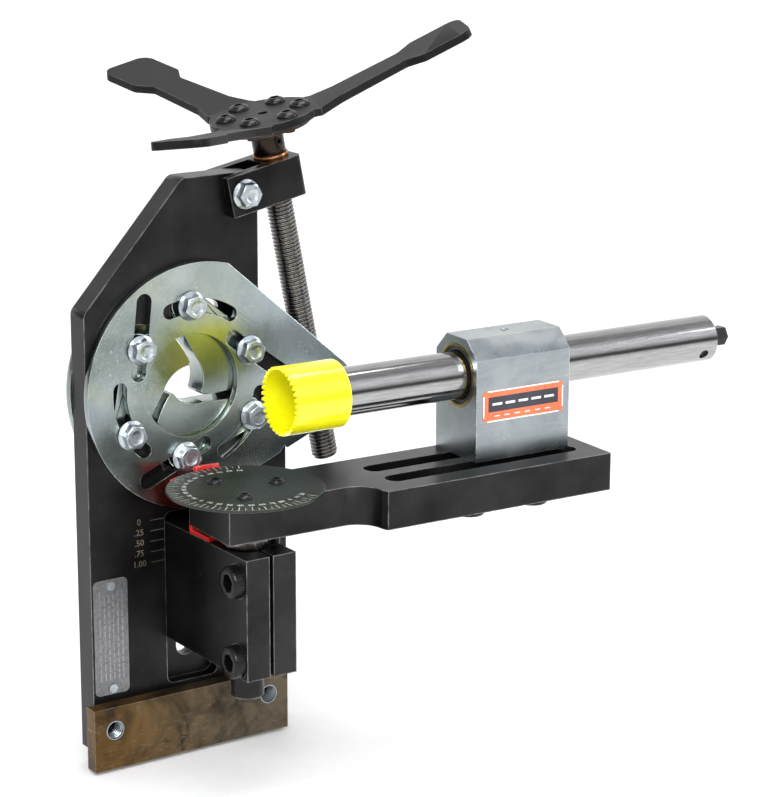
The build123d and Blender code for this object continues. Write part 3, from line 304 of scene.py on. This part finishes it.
PALE_MARK = paint("pale_mark", (0.07, 0.06, 0.04), (0.22, 0.19, 0.14), (0.45, 0.6), 0.0, metal=0.3)
PRINT_WHITE = paint("print_white", (0.78, 0.77, 0.75), (0.88, 0.87, 0.85), (0.3, 0.4), 0.3)
PRINT_DARK = paint("print_dark", (0.012, 0.012, 0.022), (0.025, 0.025, 0.04), (0.3, 0.4), 0.3)
PLATE_PRINT = paint("plate_print", (0.24, 0.24, 0.245), (0.40, 0.40, 0.41), (0.35, 0.5), 0.0,
                    metal=0.6)
RING_OLIVE = bright_metal("ring_olive", (0.17, 0.135, 0.04), (0.34, 0.28, 0.10), (0.22, 0.36),
                          (1, 1, 1), 260)

# Chamfer that catches the light on each node's sharp edges, in metres.
EDGE_BREAK = {
    "back_plate": 0.0009, "mounting_bar": 0.0008, "swing_arm": 0.0010, "pivot_bracket": 0.0009,
    "front_cam_plate": 0.0002, "rear_cam_plate": 0.0002, "yoke_block": 0.0009,
    "bearing_block": 0.0007, "handle_spider": 0.0007, "handle_flange": 0.0004,
    "left_jaw": 0.0005, "lower_jaw": 0.0005, "right_jaw": 0.0005, "drive_collar": 0.0004,
    "thrust_bush": 0.0002, "post_collar": 0.0005, "barrel_nut": 0.0004, "block_washers": 0.0003,
    "bracket_washers": 0.0003, "drive_hex": 0.0005, "degree_dial": 0.00015,
    "angle_pointer": 0.0002,
}


# Nodes that look different from the rest of their slot.
HANDLE_BLACK = dark_steel("handle_black", (0.007, 0.007, 0.008), (0.020, 0.020, 0.020),
                          (0.26, 0.25, 0.25), 0.7, (0.42, 0.58), 0.85, 0.0008)
LOOKS = {"grease_screw": MATERIALS["zinc_bolt"], "post_collar": MATERIALS["thread_steel"],
         "handle_spider": HANDLE_BLACK}


def dress_cad_nodes():
    """Gives each CAD node its material, and breaks its sharp edges."""
    for row in frame["record"]["subparts"]:
        piece = NODES[row["node"]]
        piece.data.materials.clear()
        piece.data.materials.append(LOOKS.get(row["node"], MATERIALS[row["material_slot"]]))
        width = EDGE_BREAK.get(row["node"])
        if width:
            weld = piece.modifiers.new("weld", "WELD")
            weld.merge_threshold = 1e-6
            bevel = piece.modifiers.new("edge", "BEVEL")
            bevel.width = width
            bevel.segments = 2
            bevel.limit_method = "ANGLE"
            bevel.angle_limit = radians(32)
            bevel.harden_normals = False


# ------------------------------------------------------------------ mesh helpers


def new_piece(name, verts, faces, material, body, smooth=35):
    """A piece in the row frame that rides on a body, smooth but for its sharp edges."""
    mesh = bpy.data.meshes.new(name)
    mesh.from_pydata([tuple(v) for v in verts], [], faces)
    mesh.materials.append(material)
    build = bmesh.new()
    build.from_mesh(mesh)
    bmesh.ops.remove_doubles(build, verts=build.verts, dist=1e-7)
    bmesh.ops.recalc_face_normals(build, faces=build.faces)
    for face in build.faces:
        face.smooth = True
    for edge in build.edges:
        if len(edge.link_faces) == 2:
            edge.smooth = edge.calc_face_angle(0) < radians(smooth)
    build.to_mesh(mesh)
    build.free()
    piece = bpy.data.objects.new(name, mesh)
    bpy.context.scene.collection.objects.link(piece)
    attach(piece, body)
    return piece


class Shape:
    """Vertices and faces gathered from several loops of rings."""

    def __init__(self):
        self.verts, self.faces = [], []

    def rings(self, rings, matrix, closed=True):
        """Quads between consecutive rings, with a fan at each end when closed."""
        base = len(self.verts)
        count = len(rings[0])
        for ring in rings:
            self.verts += [matrix @ Vector(p) for p in ring]
        for i in range(len(rings) - 1):
            a, b = base + i * count, base + (i + 1) * count
            for j in range(count):
                k = (j + 1) % count
                self.faces.append((a + j, a + k, b + k, b + j))
        if closed:
            for ring, start in ((rings[0], base), (rings[-1], base + (len(rings) - 1) * count)):
                centre = sum((Vector(p) for p in ring), Vector()) / count
                self.verts.append(matrix @ centre)
                top = len(self.verts) - 1
                for j in range(count):
                    self.faces.append((start + j, start + (j + 1) % count, top))

    def box(self, low, high, matrix=Matrix()):
        base = len(self.verts)
        for z in (low[2], high[2]):
            for x, y in ((low[0], low[1]), (high[0], low[1]),
                         (high[0], high[1]), (low[0], high[1])):
                self.verts.append(matrix @ Vector((x, y, z)))
        for quad in ((0, 3, 2, 1), (4, 5, 6, 7), (0, 1, 5, 4), (1, 2, 6, 5), (2, 3, 7, 6),
                     (3, 0, 4, 7)):
            self.faces.append(tuple(base + i for i in quad))


def ring(radius, z, count):
    """A ring at height z; radius is a number or a function of the angle."""
    points = []
    for j in range(count):
        angle = 2 * pi * j / count
        r = radius(angle) if callable(radius) else radius
        points.append((r * cos(angle), r * sin(angle), z))
    return points


def hex_radius(across_flats):
    def radius(angle):
        part = (angle + pi / 6) % (pi / 3) - pi / 6
        return across_flats / 2 / cos(part)
    return radius


def toward(origin, direction, spin=0.0):
    """Matrix that puts local +Z along a direction, at a place."""
    turn = Vector((0, 0, 1)).rotation_difference(Vector(direction)).to_matrix().to_4x4()
    return Matrix.Translation(Vector(origin)) @ turn @ Matrix.Rotation(spin, 4, "Z")


def solid_points(node):
    """The corner points of each separate solid of a CAD node."""
    build = bmesh.new()
    build.from_mesh(NODES[node].data)
    bmesh.ops.remove_doubles(build, verts=build.verts, dist=1e-6)
    seen, groups = set(), []
    for start in build.verts:
        if start in seen:
            continue
        heap, group = [start], []
        seen.add(start)
        while heap:
            vert = heap.pop()
            group.append(tuple(vert.co))
            for edge in vert.link_edges:
                other = edge.other_vert(vert)
                if other not in seen:
                    seen.add(other)
                    heap.append(other)
        groups.append(np.array(group))
    build.free()
    return groups


def solids(node):
    """The box of each separate solid of a CAD node, as (low, high)."""
    return [(Vector(p.min(0)), Vector(p.max(0))) for p in solid_points(node)]


def lathed(points, axis):
    """A turned solid's frame: matrix with +Z along the axis, and (z, radius) of every point."""
    turn = toward((0, 0, 0), axis)
    local = points @ np.array(turn.to_3x3())
    middle = (local.min(0) + local.max(0)) / 2
    radial = np.hypot(local[:, 0] - middle[0], local[:, 1] - middle[1])
    place = turn @ Matrix.Translation((middle[0], middle[1], 0))
    return place, local[:, 2], radial


def helix_rings(radius, depth, pitch, low, high, count=40, per_turn=10, taper=0.0):
    """Rings of a threaded rod between two heights, with rounded crests and roots."""
    steps = max(4, int((high - low) / pitch * per_turn))
    rings = []
    for i in range(steps + 1):
        z = low + (high - low) * i / steps
        end = min(z - low, high - z)
        fade = min(1.0, end / pitch * 1.2 + (0.0 if taper else 1.0))
        points = []
        for j in range(count):
            angle = 2 * pi * j / count
            phase = (z / pitch - angle / (2 * pi)) % 1.0
            wave = abs(phase * 2 - 1)
            cut = max(0.0, min(1.0, (wave - 0.12) / 0.70))
            cut = cut * cut * (3 - 2 * cut)
            r = radius - depth * cut - taper * (1 - fade)
            points.append((r * cos(angle), r * sin(angle), z))
        rings.append(points)
    return rings


# ------------------------------------------------------------------ fasteners

CAP_HEAD_R = 0.375 * IN         # 1/2 in socket head screws
CAP_HEAD_H = 0.5 * IN
CAP_SOCKET_AF = 0.375 * IN
CAP_R = 0.25 * IN
HALF_IN_PITCH = 1.95 * MM       # thread of the 1/2 in screws and tapped holes
BOLT_R = 0.3125 / 2 * IN
BOLT_AF = 0.5 * IN
FLANGE_R = 0.34 * IN
HEAD_T = 7.0 * MM
NUT_T = 6.9 * MM


def flange_head_rings(top, hollow):
    """Hexagon on a sloping washer face, chamfered round its top; hollow is the hole in a nut."""
    hexagon = hex_radius(BOLT_AF)
    rim = BOLT_AF / 2 * 0.95
    count = 96
    rings = [
        ring(FLANGE_R * 0.97, 0, count),
        ring(FLANGE_R, 0.25 * MM, count),
        ring(FLANGE_R, 0.75 * MM, count),
        ring(lambda a: (FLANGE_R + hexagon(a)) / 2 + 0.2 * MM, 1.30 * MM, count),
        ring(lambda a: hexagon(a) + 0.25 * MM, 1.75 * MM, count),
        ring(hexagon, 2.1 * MM, count),
    ]
    chamfer = []
    for x, y, _ in ring(hexagon, 0, count):
        r = (x * x + y * y) ** 0.5
        chamfer.append((x, y, top - (r - rim) * 0.6 - 0.1 * MM))
    rings += [chamfer, ring(rim, top, count)]
    if hollow:
        rings += [ring(hollow + 0.6 * MM, top, count), ring(hollow, top - 0.6 * MM, count),
                  ring(hollow, 0.3 * MM, count)]
    else:
        rings += [ring(rim * 0.70, top, count), ring(rim * 0.62, top - 0.35 * MM, count),
                  ring(rim * 0.2, top - 0.45 * MM, count)]
    return rings


def hex_bolt(shape, box, spin):
    """Front-facing flange bolt that fills a CAD solid's box."""
    low, high = box
    x, z = (low.x + high.x) / 2, (low.z + high.z) / 2
    seat = low.y + HEAD_T
    place = toward((x, seat, z), (0, -1, 0), spin)
    shape.rings(flange_head_rings(HEAD_T, 0), place)
    for k in range(3):
        mark = place @ Matrix.Rotation(2 * pi * k / 3, 4, "Z")
        shape.box((1.6 * MM, -0.22 * MM, HEAD_T - 0.5 * MM),
                  (3.4 * MM, 0.22 * MM, HEAD_T - 0.18 * MM), mark)
    length = high.y - seat
    shape.rings(helix_rings(BOLT_R, 0.45 * MM, 1.4 * MM, -length, -length + 16 * MM,
                            28, 8, 0.8 * MM), place)
    shape.rings([ring(BOLT_R, -length + 15.8 * MM, 28), ring(BOLT_R, 0.2 * MM, 28)], place)


def flange_nut(shape, box, spin):
    low, high = box
    place = toward(((low.x + high.x) / 2, low.y, (low.z + high.z) / 2), (0, 1, 0), spin)
    shape.rings(flange_head_rings(NUT_T, BOLT_R + 0.1 * MM), place, closed=False)


def bolts_and_nuts():
    """Detailed flange bolts and nuts in place of the plain CAD ones."""
    jobs = [("pivot_bolts", "frame", hex_bolt), ("pivot_nuts", "frame", flange_nut),
            ("yoke_bolt", "frame", hex_bolt), ("yoke_nut", "frame", flange_nut)]
    for side in ("left", "lower", "right"):
        jobs.append((side + "_cam_bolt", side + "_jaw", hex_bolt))
        jobs.append((side + "_cam_nut", side + "_jaw", flange_nut))
    spin = 0.35
    for node, body, maker in jobs:
        shape = Shape()
        for box in solids(node):
            maker(shape, box, spin)
            spin += 0.73
        piece = new_piece(node + "_made", shape.verts, shape.faces, MATERIALS["zinc_bolt"], body)
        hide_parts(node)


def cap_head_rings(radius, height, socket_af, count=144):
    """Knurled cap head with a hexagon socket."""
    def knurl(angle):
        return radius * (1 - 0.018 * (0.5 + 0.5 * cos(36 * angle)))
    socket = hex_radius(socket_af)
    return [
        ring(radius * 0.95, 0, count),
        ring(knurl, 0.4 * MM, count),
        ring(knurl, height - 1.3 * MM, count),
        ring(radius * 0.985, height - 1.2 * MM, count),
        ring(radius * 0.93, height - 0.25 * MM, count),
        ring(radius * 0.89, height, count),
        ring(lambda a: socket(a) + 0.55 * MM, height, count),
        ring(socket, height - 0.5 * MM, count),
        ring(socket, height - radius * 0.85, count),
        ring(lambda a: socket(a) * 0.4, height - radius * 1.0, count),
    ]


def cap_screws():
    """Knurled socket screws: the bracket's clamp screws and the block's bolts."""
    for node, body, direction in (("clamp_screws", "bracket", (-1, 0, 0)),
                                  ("block_bolts", "block", (0, 0, -1))):
        shape = Shape()
        for low, high in solids(node):
            middle = (low + high) / 2
            if direction[0]:
                seat = Vector((low.x + CAP_HEAD_H, middle.y, middle.z))
                length = high.x - seat.x
            else:
                seat = Vector((middle.x, middle.y, low.z + CAP_HEAD_H))
                length = high.z - seat.z
            place = toward(seat, direction, 0.3)
            shape.rings(cap_head_rings(CAP_HEAD_R, CAP_HEAD_H, CAP_SOCKET_AF), place)
            shape.rings(helix_rings(CAP_R, 0.8 * MM, HALF_IN_PITCH, -length, 0.2 * MM, 32, 8),
                        place)
        piece = new_piece(node + "_made", shape.verts, shape.faces, MATERIALS["black_screw"], body)
        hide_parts(node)


def button_head_rings(radius, height, socket_af, count=72):
    """Domed head with a hexagon socket, standing on Z = 0."""
    socket = hex_radius(socket_af)
    rings = [ring(radius * 0.97, 0, count), ring(radius, 0.12 * MM, count)]
    dome = radians(64)
    for k in range(1, 8):
        angle = dome * k / 7
        rise = 0.06 + 0.94 * sin(angle) / sin(dome)
        rings.append(ring(radius * cos(angle), height * rise, count))
    rings += [
        ring(lambda a: socket(a) + 0.25 * MM, height, count),
        ring(socket, height - 0.25 * MM, count),
        ring(socket, height * 0.35, count),
        ring(lambda a: socket(a) * 0.3, height * 0.22, count),
    ]
    return rings


def button_screws():
    """Round socket heads on the dial, the pointer and the handle."""
    up = (0, 0, 1)
    lean = JOINTS["handle_spin"]["axis"]
    for node, body, axis, height in (("dial_screws", "arm", up, 2.3 * MM),
                                     ("pointer_screws", "bracket", up, 2.0 * MM),
                                     ("handle_screws", "screw", lean, 3.0 * MM)):
        shape = Shape()
        for points in solid_points(node):
            place, along, radial = lathed(points, axis)
            radius = float(radial.max())
            seat = float(along[radial > radius * 0.97].min())
            head = place @ Matrix.Translation((0, 0, seat))
            shape.rings(button_head_rings(radius, height, radius * 0.92), head)
            low = float(along.min()) - seat
            shank = float(radial[along < seat - 1 * MM].max())
            shape.rings([ring(shank, low, 24), ring(shank, 0.1 * MM, 24)], head)
        piece = new_piece(node + "_made", shape.verts, shape.faces, MATERIALS["black_screw"], body)
        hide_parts(node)


def shaft_seals():
    """An olive ring with a recessed dark lip at each end of the block's bore."""
    axis = -Vector(JOINTS["block_slide"]["axis"])
    case, lip = Shape(), Shape()
    groups = solid_points("shaft_seals")
    ends = [lathed(points, axis) for points in groups]
    middle = sum(float(along.mean()) for _, along, _ in ends) / len(ends)
    for place, along, radial in ends:
        low, high = float(along.min()), float(along.max())
        outer, bore = float(radial.max()), float(radial.min())
        if along.mean() < middle:
            face, sign = low, 1
        else:
            face, sign = high, -1
        band = outer - 2.1 * MM
        deep = face + sign * (high - low)
        case.rings([ring(outer, deep, 96), ring(outer, face + sign * 0.2 * MM, 96),
                    ring(outer - 0.3 * MM, face, 96), ring(band, face, 96),
                    ring(band - 0.2 * MM, face + sign * 0.3 * MM, 96),
                    ring(band - 0.2 * MM, deep, 96)], place, closed=False)
        lip.rings([ring(band, deep, 96), ring(band, face + sign * 0.7 * MM, 96),
                   ring(band - 1.0 * MM, face + sign * 1.1 * MM, 96),
                   ring(bore + 0.6 * MM, face + sign * 0.5 * MM, 96),
                   ring(bore, face + sign * 1.0 * MM, 96), ring(bore, deep, 96)],
                  place, closed=False)
    ring_piece = new_piece("seal_rings", case.verts, case.faces, RING_OLIVE, "block")
    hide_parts("shaft_seals")
    new_piece("seal_lips", lip.verts, lip.faces, MATERIALS["seal_dark"], "block")


def bar_threads():
    """Bright mouths and threads of the two tapped holes in the bar."""
    mount = frame["record"]["mounts"][0]
    radius = mount["dims"]["hole_r_mm"] * MM
    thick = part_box("mounting_bar")[1][1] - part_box("mounting_bar")[0][1]
    shape = Shape()
    for side in (-0.5, 0.5):
        x = side * mount["dims"]["spacing_x_mm"] * MM
        place = toward((x, 0, 0), (0, 1, 0))
        shape.rings([ring(radius + 0.35 * MM, -0.01 * MM, 64),
                     ring(radius + 0.25 * MM, -0.05 * MM, 64),
                     ring(radius - 0.1 * MM, -0.02 * MM, 64),
                     ring(radius - 0.12 * MM, 0.4 * MM, 64)], place, closed=False)
        shape.rings(helix_rings(radius - 0.05 * MM, 0.55 * MM, HALF_IN_PITCH, 0.4 * MM, thick,
                                48, 12),
                    place, closed=False)
    new_piece("bar_threads", shape.verts, shape.faces, MATERIALS["zinc_bolt"], "frame")


# ------------------------------------------------------------------ leadscrew

SCREW_R = 0.3125 * IN
JOURNAL_R = 0.25 * IN
THREAD_PITCH = IN / 11
THREAD_DEPTH = 1.3 * MM


def leadscrew():
    """Leadscrew with its helical thread, on the CAD leadscrew's axis."""
    joint = JOINTS["handle_spin"]
    axis = Vector(joint["axis"]).normalized()
    through = Vector(joint["pos_m"])
    points = np.array([tuple(v.co) for v in NODES["leadscrew"].data.vertices])
    along = (points - np.array(through)) @ np.array(axis)
    radial = np.linalg.norm(points - np.array(through) - np.outer(along, np.array(axis)), axis=1)
    low, high = along.min(), along.max()
    body_top = along[radial > (SCREW_R + JOURNAL_R) / 2].max()
    place = toward(through, axis)
    shape = Shape()
    shape.rings(helix_rings(SCREW_R, THREAD_DEPTH, THREAD_PITCH, low, body_top, 40, 16, 1.2 * MM),
                place)
    shape.rings([ring(JOURNAL_R, body_top - 1 * MM, 48), ring(JOURNAL_R, high, 48)], place)
    piece = new_piece("leadscrew_made", shape.verts, shape.faces, MATERIALS["thread_steel"],
                      "screw", 80)
    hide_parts("leadscrew")


# ------------------------------------------------------------------ marks and labels


def text_piece(name, items, size, material, body, depth=0.04 * MM):
    """Short generic numbers as thin mesh, each at its own matrix."""
    shape = Shape()
    for words, place in items:
        curve = bpy.data.curves.new("number", "FONT")
        curve.body = words
        curve.size = size
        curve.align_x = "CENTER"
        curve.align_y = "CENTER"
        curve.extrude = depth
        curve.resolution_u = 3
        holder = bpy.data.objects.new("number", curve)
        bpy.context.scene.collection.objects.link(holder)
        bpy.context.view_layer.update()
        mesh = bpy.data.meshes.new_from_object(holder)
        base = len(shape.verts)
        shape.verts += [place @ v.co for v in mesh.vertices]
        shape.faces += [tuple(base + i for i in p.vertices) for p in mesh.polygons]
        bpy.data.objects.remove(holder)
        bpy.data.curves.remove(curve)
        bpy.data.meshes.remove(mesh)
    return new_piece(name, shape.verts, shape.faces, material, body)


DIAL_FIRST = 64                 # direction of the dial's first tick from the post, in degrees
DIAL_LAST = 304
DIAL_TICK = 5
DIAL_NUMBER = 10
DIAL_SHIFT = 50                 # puts a zero close to the pointer


def dial_marks():
    """Degree ticks and generic numbers on the dial, from the pointer round the near side."""
    low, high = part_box("degree_dial")
    centre = ((low[0] + high[0]) / 2, (low[1] + high[1]) / 2, high[2])
    radius = (high[0] - low[0]) / 2
    shape = Shape()
    for step in range(0, DIAL_LAST - DIAL_FIRST + 1, DIAL_TICK):
        angle = radians(DIAL_FIRST + step)
        length = 6.2 if step % DIAL_NUMBER == 0 else 4.2
        width = 0.17 if step % DIAL_NUMBER == 0 else 0.12
        place = Matrix.Translation(centre) @ Matrix.Rotation(angle, 4, "Z")
        shape.box((radius - (length + 0.6) * MM, -width * MM, -0.02 * MM),
                  (radius - 0.6 * MM, width * MM, 0.03 * MM), place)
    new_piece("dial_ticks", shape.verts, shape.faces, WHITE_INK, "arm")
    items = []
    for step in range(0, DIAL_LAST - DIAL_FIRST + 1, DIAL_NUMBER):
        angle = radians(DIAL_FIRST + step)
        place = Matrix.Translation(centre) @ Matrix.Rotation(angle, 4, "Z") @ Matrix.Translation(
            (radius - 10.2 * MM, 0, 0)) @ Matrix.Rotation(radians(90), 4, "Z")
        items.append((str((step + DIAL_SHIFT) % 90), place))
    text_piece("dial_numbers", items, 3.8 * MM, WHITE_INK, "arm")


VERNIER_FIRST = 79              # direction of the pointer's first line from the post, in degrees
VERNIER_STEP = 3.6


def pointer_marks():
    """White vernier lines on the pointer's index."""
    joint = JOINTS["arm_swing"]
    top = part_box("angle_pointer")[1][2]
    x, y, _ = joint["pos_m"]
    dial_low, dial_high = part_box("degree_dial")
    radius = (dial_high[0] - dial_low[0]) / 2
    shape = Shape()
    for k in range(5):
        place = Matrix.Translation((x, y, top)) @ Matrix.Rotation(
            radians(VERNIER_FIRST + VERNIER_STEP * k), 4, "Z")
        shape.box((radius + 1.0 * MM, -0.16 * MM, -0.1 * MM),
                  (radius + 3.0 * MM, 0.16 * MM, 0.03 * MM), place)
    new_piece("pointer_lines", shape.verts, shape.faces, WHITE_INK, "bracket")


def offset_scale():
    """Five lines a quarter inch apart beside the channel, with their numbers turned on end."""
    bracket_low, bracket_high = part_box("pivot_bracket")
    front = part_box("back_plate")[0][1]
    top = bracket_high[2] + 2.2 * MM
    right = bracket_low[0] - 0.8 * MM
    shape = Shape()
    items = []
    for k in range(5):
        z = top - k * 0.25 * IN
        shape.box((right - 9.5 * MM, front - 0.03 * MM, z - 0.14 * MM),
                  (right, front + 0.02 * MM, z + 0.14 * MM))
        words = ("0", ".25", ".50", ".75", "1.00")[k]
        place = Matrix.Translation((right - 17.0 * MM, front - 0.01 * MM, z)) @ Matrix.Rotation(
            radians(90), 4, "X")
        items.append((words, place))
    new_piece("offset_lines", shape.verts, shape.faces, PALE_MARK, "frame")
    text_piece("offset_numbers", items, 5.2 * MM, PALE_MARK, "frame", 0.03 * MM)


def data_plate_bars():
    """Rows of plain raised bars where the real plate has lettering."""
    low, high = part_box("data_plate")
    face = low[1]
    shape = Shape()
    seed = 7
    for row in range(6):
        x = low[0] + (3.6 + 2.9 * row) * MM
        z = low[2] + 9 * MM
        while z < high[2] - 10 * MM:
            seed = (seed * 1103515245 + 12345) % 2147483648
            length = (1.6 + 3.6 * (seed / 2147483648)) * MM
            thick = 0.75 if row % 3 else 0.55
            shape.box((x, face - 0.10 * MM, z), (x + thick * MM, face + 0.05 * MM, z + length))
            z += length + 1.1 * MM
    new_piece("data_plate_bars", shape.verts, shape.faces, PLATE_PRINT, "frame")


LABEL_W = 2.24 * IN
LABEL_T = 0.3 * MM


def label_print():
    """White border, dark band and plain stripes on the block's label; no lettering."""
    along = -Vector(JOINTS["block_slide"]["axis"])
    low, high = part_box("label_plate")
    across = Vector((-along.y, along.x, 0))
    centre = (Vector(low) + Vector(high)) / 2
    place = Matrix(((along.x, across.x, 0, centre.x), (along.y, across.y, 0, centre.y),
                    (0, 0, 1, centre.z), (0, 0, 0, 1)))
    half_x = LABEL_W / 2
    half_z = (high[2] - low[2]) / 2
    front = -LABEL_T / 2
    white, dark = Shape(), Shape()

    def strip(shape, x0, x1, z0, z1, proud):
        shape.box((x0, front - proud, z0), (x1, front + 0.02 * MM, z1), place)

    line, curve, proud = 0.8 * MM, 3.0 * MM, 0.02 * MM
    strip(white, curve - half_x, half_x - curve, half_z - line, half_z, proud)
    strip(white, curve - half_x, half_x - curve, -half_z, line - half_z, proud)
    strip(white, -half_x, line - half_x, curve - half_z, half_z - curve, proud)
    strip(white, half_x - line, half_x, curve - half_z, half_z - curve, proud)
    strip(dark, 3.6 * MM - half_x, half_x - 3.6 * MM, -3.4 * MM, 5.6 * MM, proud)
    for k in range(5):
        x = 6.5 * MM - half_x + 9.2 * MM * k
        strip(white, x, x + 6.8 * MM, 0.4 * MM, 1.8 * MM, 2 * proud)
    for k in range(6):
        x = 8.0 * MM - half_x + 7.2 * MM * k
        strip(white, x, x + 3.6 * MM, -6.4 * MM, -5.8 * MM, proud)
    new_piece("label_lines", white.verts, white.faces, PRINT_WHITE, "block")
    new_piece("label_band", dark.verts, dark.faces, PRINT_DARK, "block")


# ------------------------------------------------------------------ stage


BACKDROP_TURN = 34.3            # the sweep's depth runs this many degrees off the Y axis
FLOOR_GAP = 0.002               # the floor lies just under the object, in metres


def aim(piece, target, roll=0.0):
    direction = Vector(target) - piece.location
    turn = direction.to_track_quat("-Z", "Y").to_matrix().to_4x4()
    piece.rotation_euler = (turn @ Matrix.Rotation(roll, 4, "Z")).to_euler()


def softbox(name, place, target, size, power, colour=(1, 1, 1)):
    light = bpy.data.lights.new(name, "AREA")
    light.shape = "RECTANGLE"
    light.size, light.size_y = size
    light.energy = power
    light.color = colour
    lamp = bpy.data.objects.new(name, light)
    bpy.context.scene.collection.objects.link(lamp)
    lamp.location = place
    aim(lamp, target)
    return lamp


def light_world(tree):
    """Sky that is dark near the horizon and bright above, for bands on polished metal."""
    coord = tree.nodes.new("ShaderNodeTexCoord")
    split = tree.nodes.new("ShaderNodeSeparateXYZ")
    ramp = tree.nodes.new("ShaderNodeValToRGB")
    tree.links.new(coord.outputs["Generated"], split.inputs["Vector"])
    tree.links.new(split.outputs["Z"], ramp.inputs["Fac"])
    tree.links.new(ramp.outputs["Color"], tree.nodes["Background"].inputs["Color"])
    tree.nodes["Background"].inputs["Strength"].default_value = 1.25
    stops = ramp.color_ramp.elements
    stops[0].position, stops[0].color = 0.0, (0.10, 0.10, 0.105, 1)
    stops[1].position, stops[1].color = 1.0, (0.60, 0.61, 0.63, 1)
    for spot, grey in ((0.14, 0.10), (0.24, 0.55), (0.42, 1.0), (0.66, 1.0), (0.80, 0.35)):
        stop = stops.new(spot)
        stop.color = (grey, grey, grey * 1.03, 1)


def studio():
    """Pale seamless floor and backdrop, soft lights, and the camera."""
    floor_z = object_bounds()[0][2] - FLOOR_GAP
    g = Graph("floor_pale")
    g.place = g.stretch((1, 1, 1), (0, 0, radians(BACKDROP_TURN)))
    speck = g.noise(90, 3)
    material = g.set(color=g.mix(speck, (0.58, 0.58, 0.58), (0.64, 0.64, 0.64)), rough=0.8,
                     specular=0.2)
    g.shader.inputs["Emission Color"].default_value = (1, 1, 1, 1)
    # The sweep is lit a little more towards the back, as a backdrop is.
    g.put(g.shader.inputs["Emission Strength"], g.span(g.axis("Y"), 0.2, 3.0, 0.10, 0.55))
    size, radius, back = 6.0, 1.2, 3.0
    profile = [(-size, floor_z)]
    for k in range(13):
        angle = radians(90 * k / 12)
        profile.append((back + radius * sin(angle), floor_z + radius * (1 - cos(angle))))
    profile.append((back + radius, floor_z + size))
    verts, faces = [], []
    turn = Matrix.Rotation(radians(-BACKDROP_TURN), 4, "Z")
    for y, z in profile:
        verts += [turn @ Vector((-size, y, z)), turn @ Vector((size, y, z))]
    for i in range(len(profile) - 1):
        faces.append((2 * i, 2 * i + 1, 2 * i + 3, 2 * i + 2))
    mesh = bpy.data.meshes.new("floor")
    mesh.from_pydata([tuple(v) for v in verts], [], faces)
    mesh.materials.append(material)
    for polygon in mesh.polygons:
        polygon.use_smooth = True
    sweep = bpy.data.objects.new("floor", mesh)
    bpy.context.scene.collection.objects.link(sweep)
    sweep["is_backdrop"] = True

    world = bpy.data.worlds.new("studio")
    bpy.context.scene.world = world
    world.use_nodes = True
    light_world(world.node_tree)
    middle = (0.1, 0.0, 0.17)
    softbox("key", (-1.3, -1.5, 1.7), middle, (1.1, 1.1), 44)
    softbox("top", (0.2, -0.1, 1.9), middle, (1.6, 1.0), 34)
    softbox("right", (1.8, -0.9, 0.9), middle, (0.5, 1.3), 14)
    softbox("front", (0.0, -2.3, 0.5), middle, (1.4, 0.25), 7)

    camera_data = bpy.data.cameras.new("camera")
    camera_data.sensor_fit = "HORIZONTAL"
    camera_data.sensor_width = 36
    camera_data.lens = 122.4
    camera_data.clip_end = 50
    camera = bpy.data.objects.new("camera", camera_data)
    bpy.context.scene.collection.objects.link(camera)
    camera.location = (-0.7199, -1.2541, 0.5686)
    aim(camera, (0.1408, 0.0095, 0.1696), radians(0.146))
    bpy.context.scene.camera = camera
    bpy.context.scene.view_settings.view_transform = "Standard"


dress_cad_nodes()
bolts_and_nuts()
cap_screws()
button_screws()
shaft_seals()
bar_threads()
leadscrew()
dial_marks()
pointer_marks()
offset_scale()
data_plate_bars()
label_print()
studio()
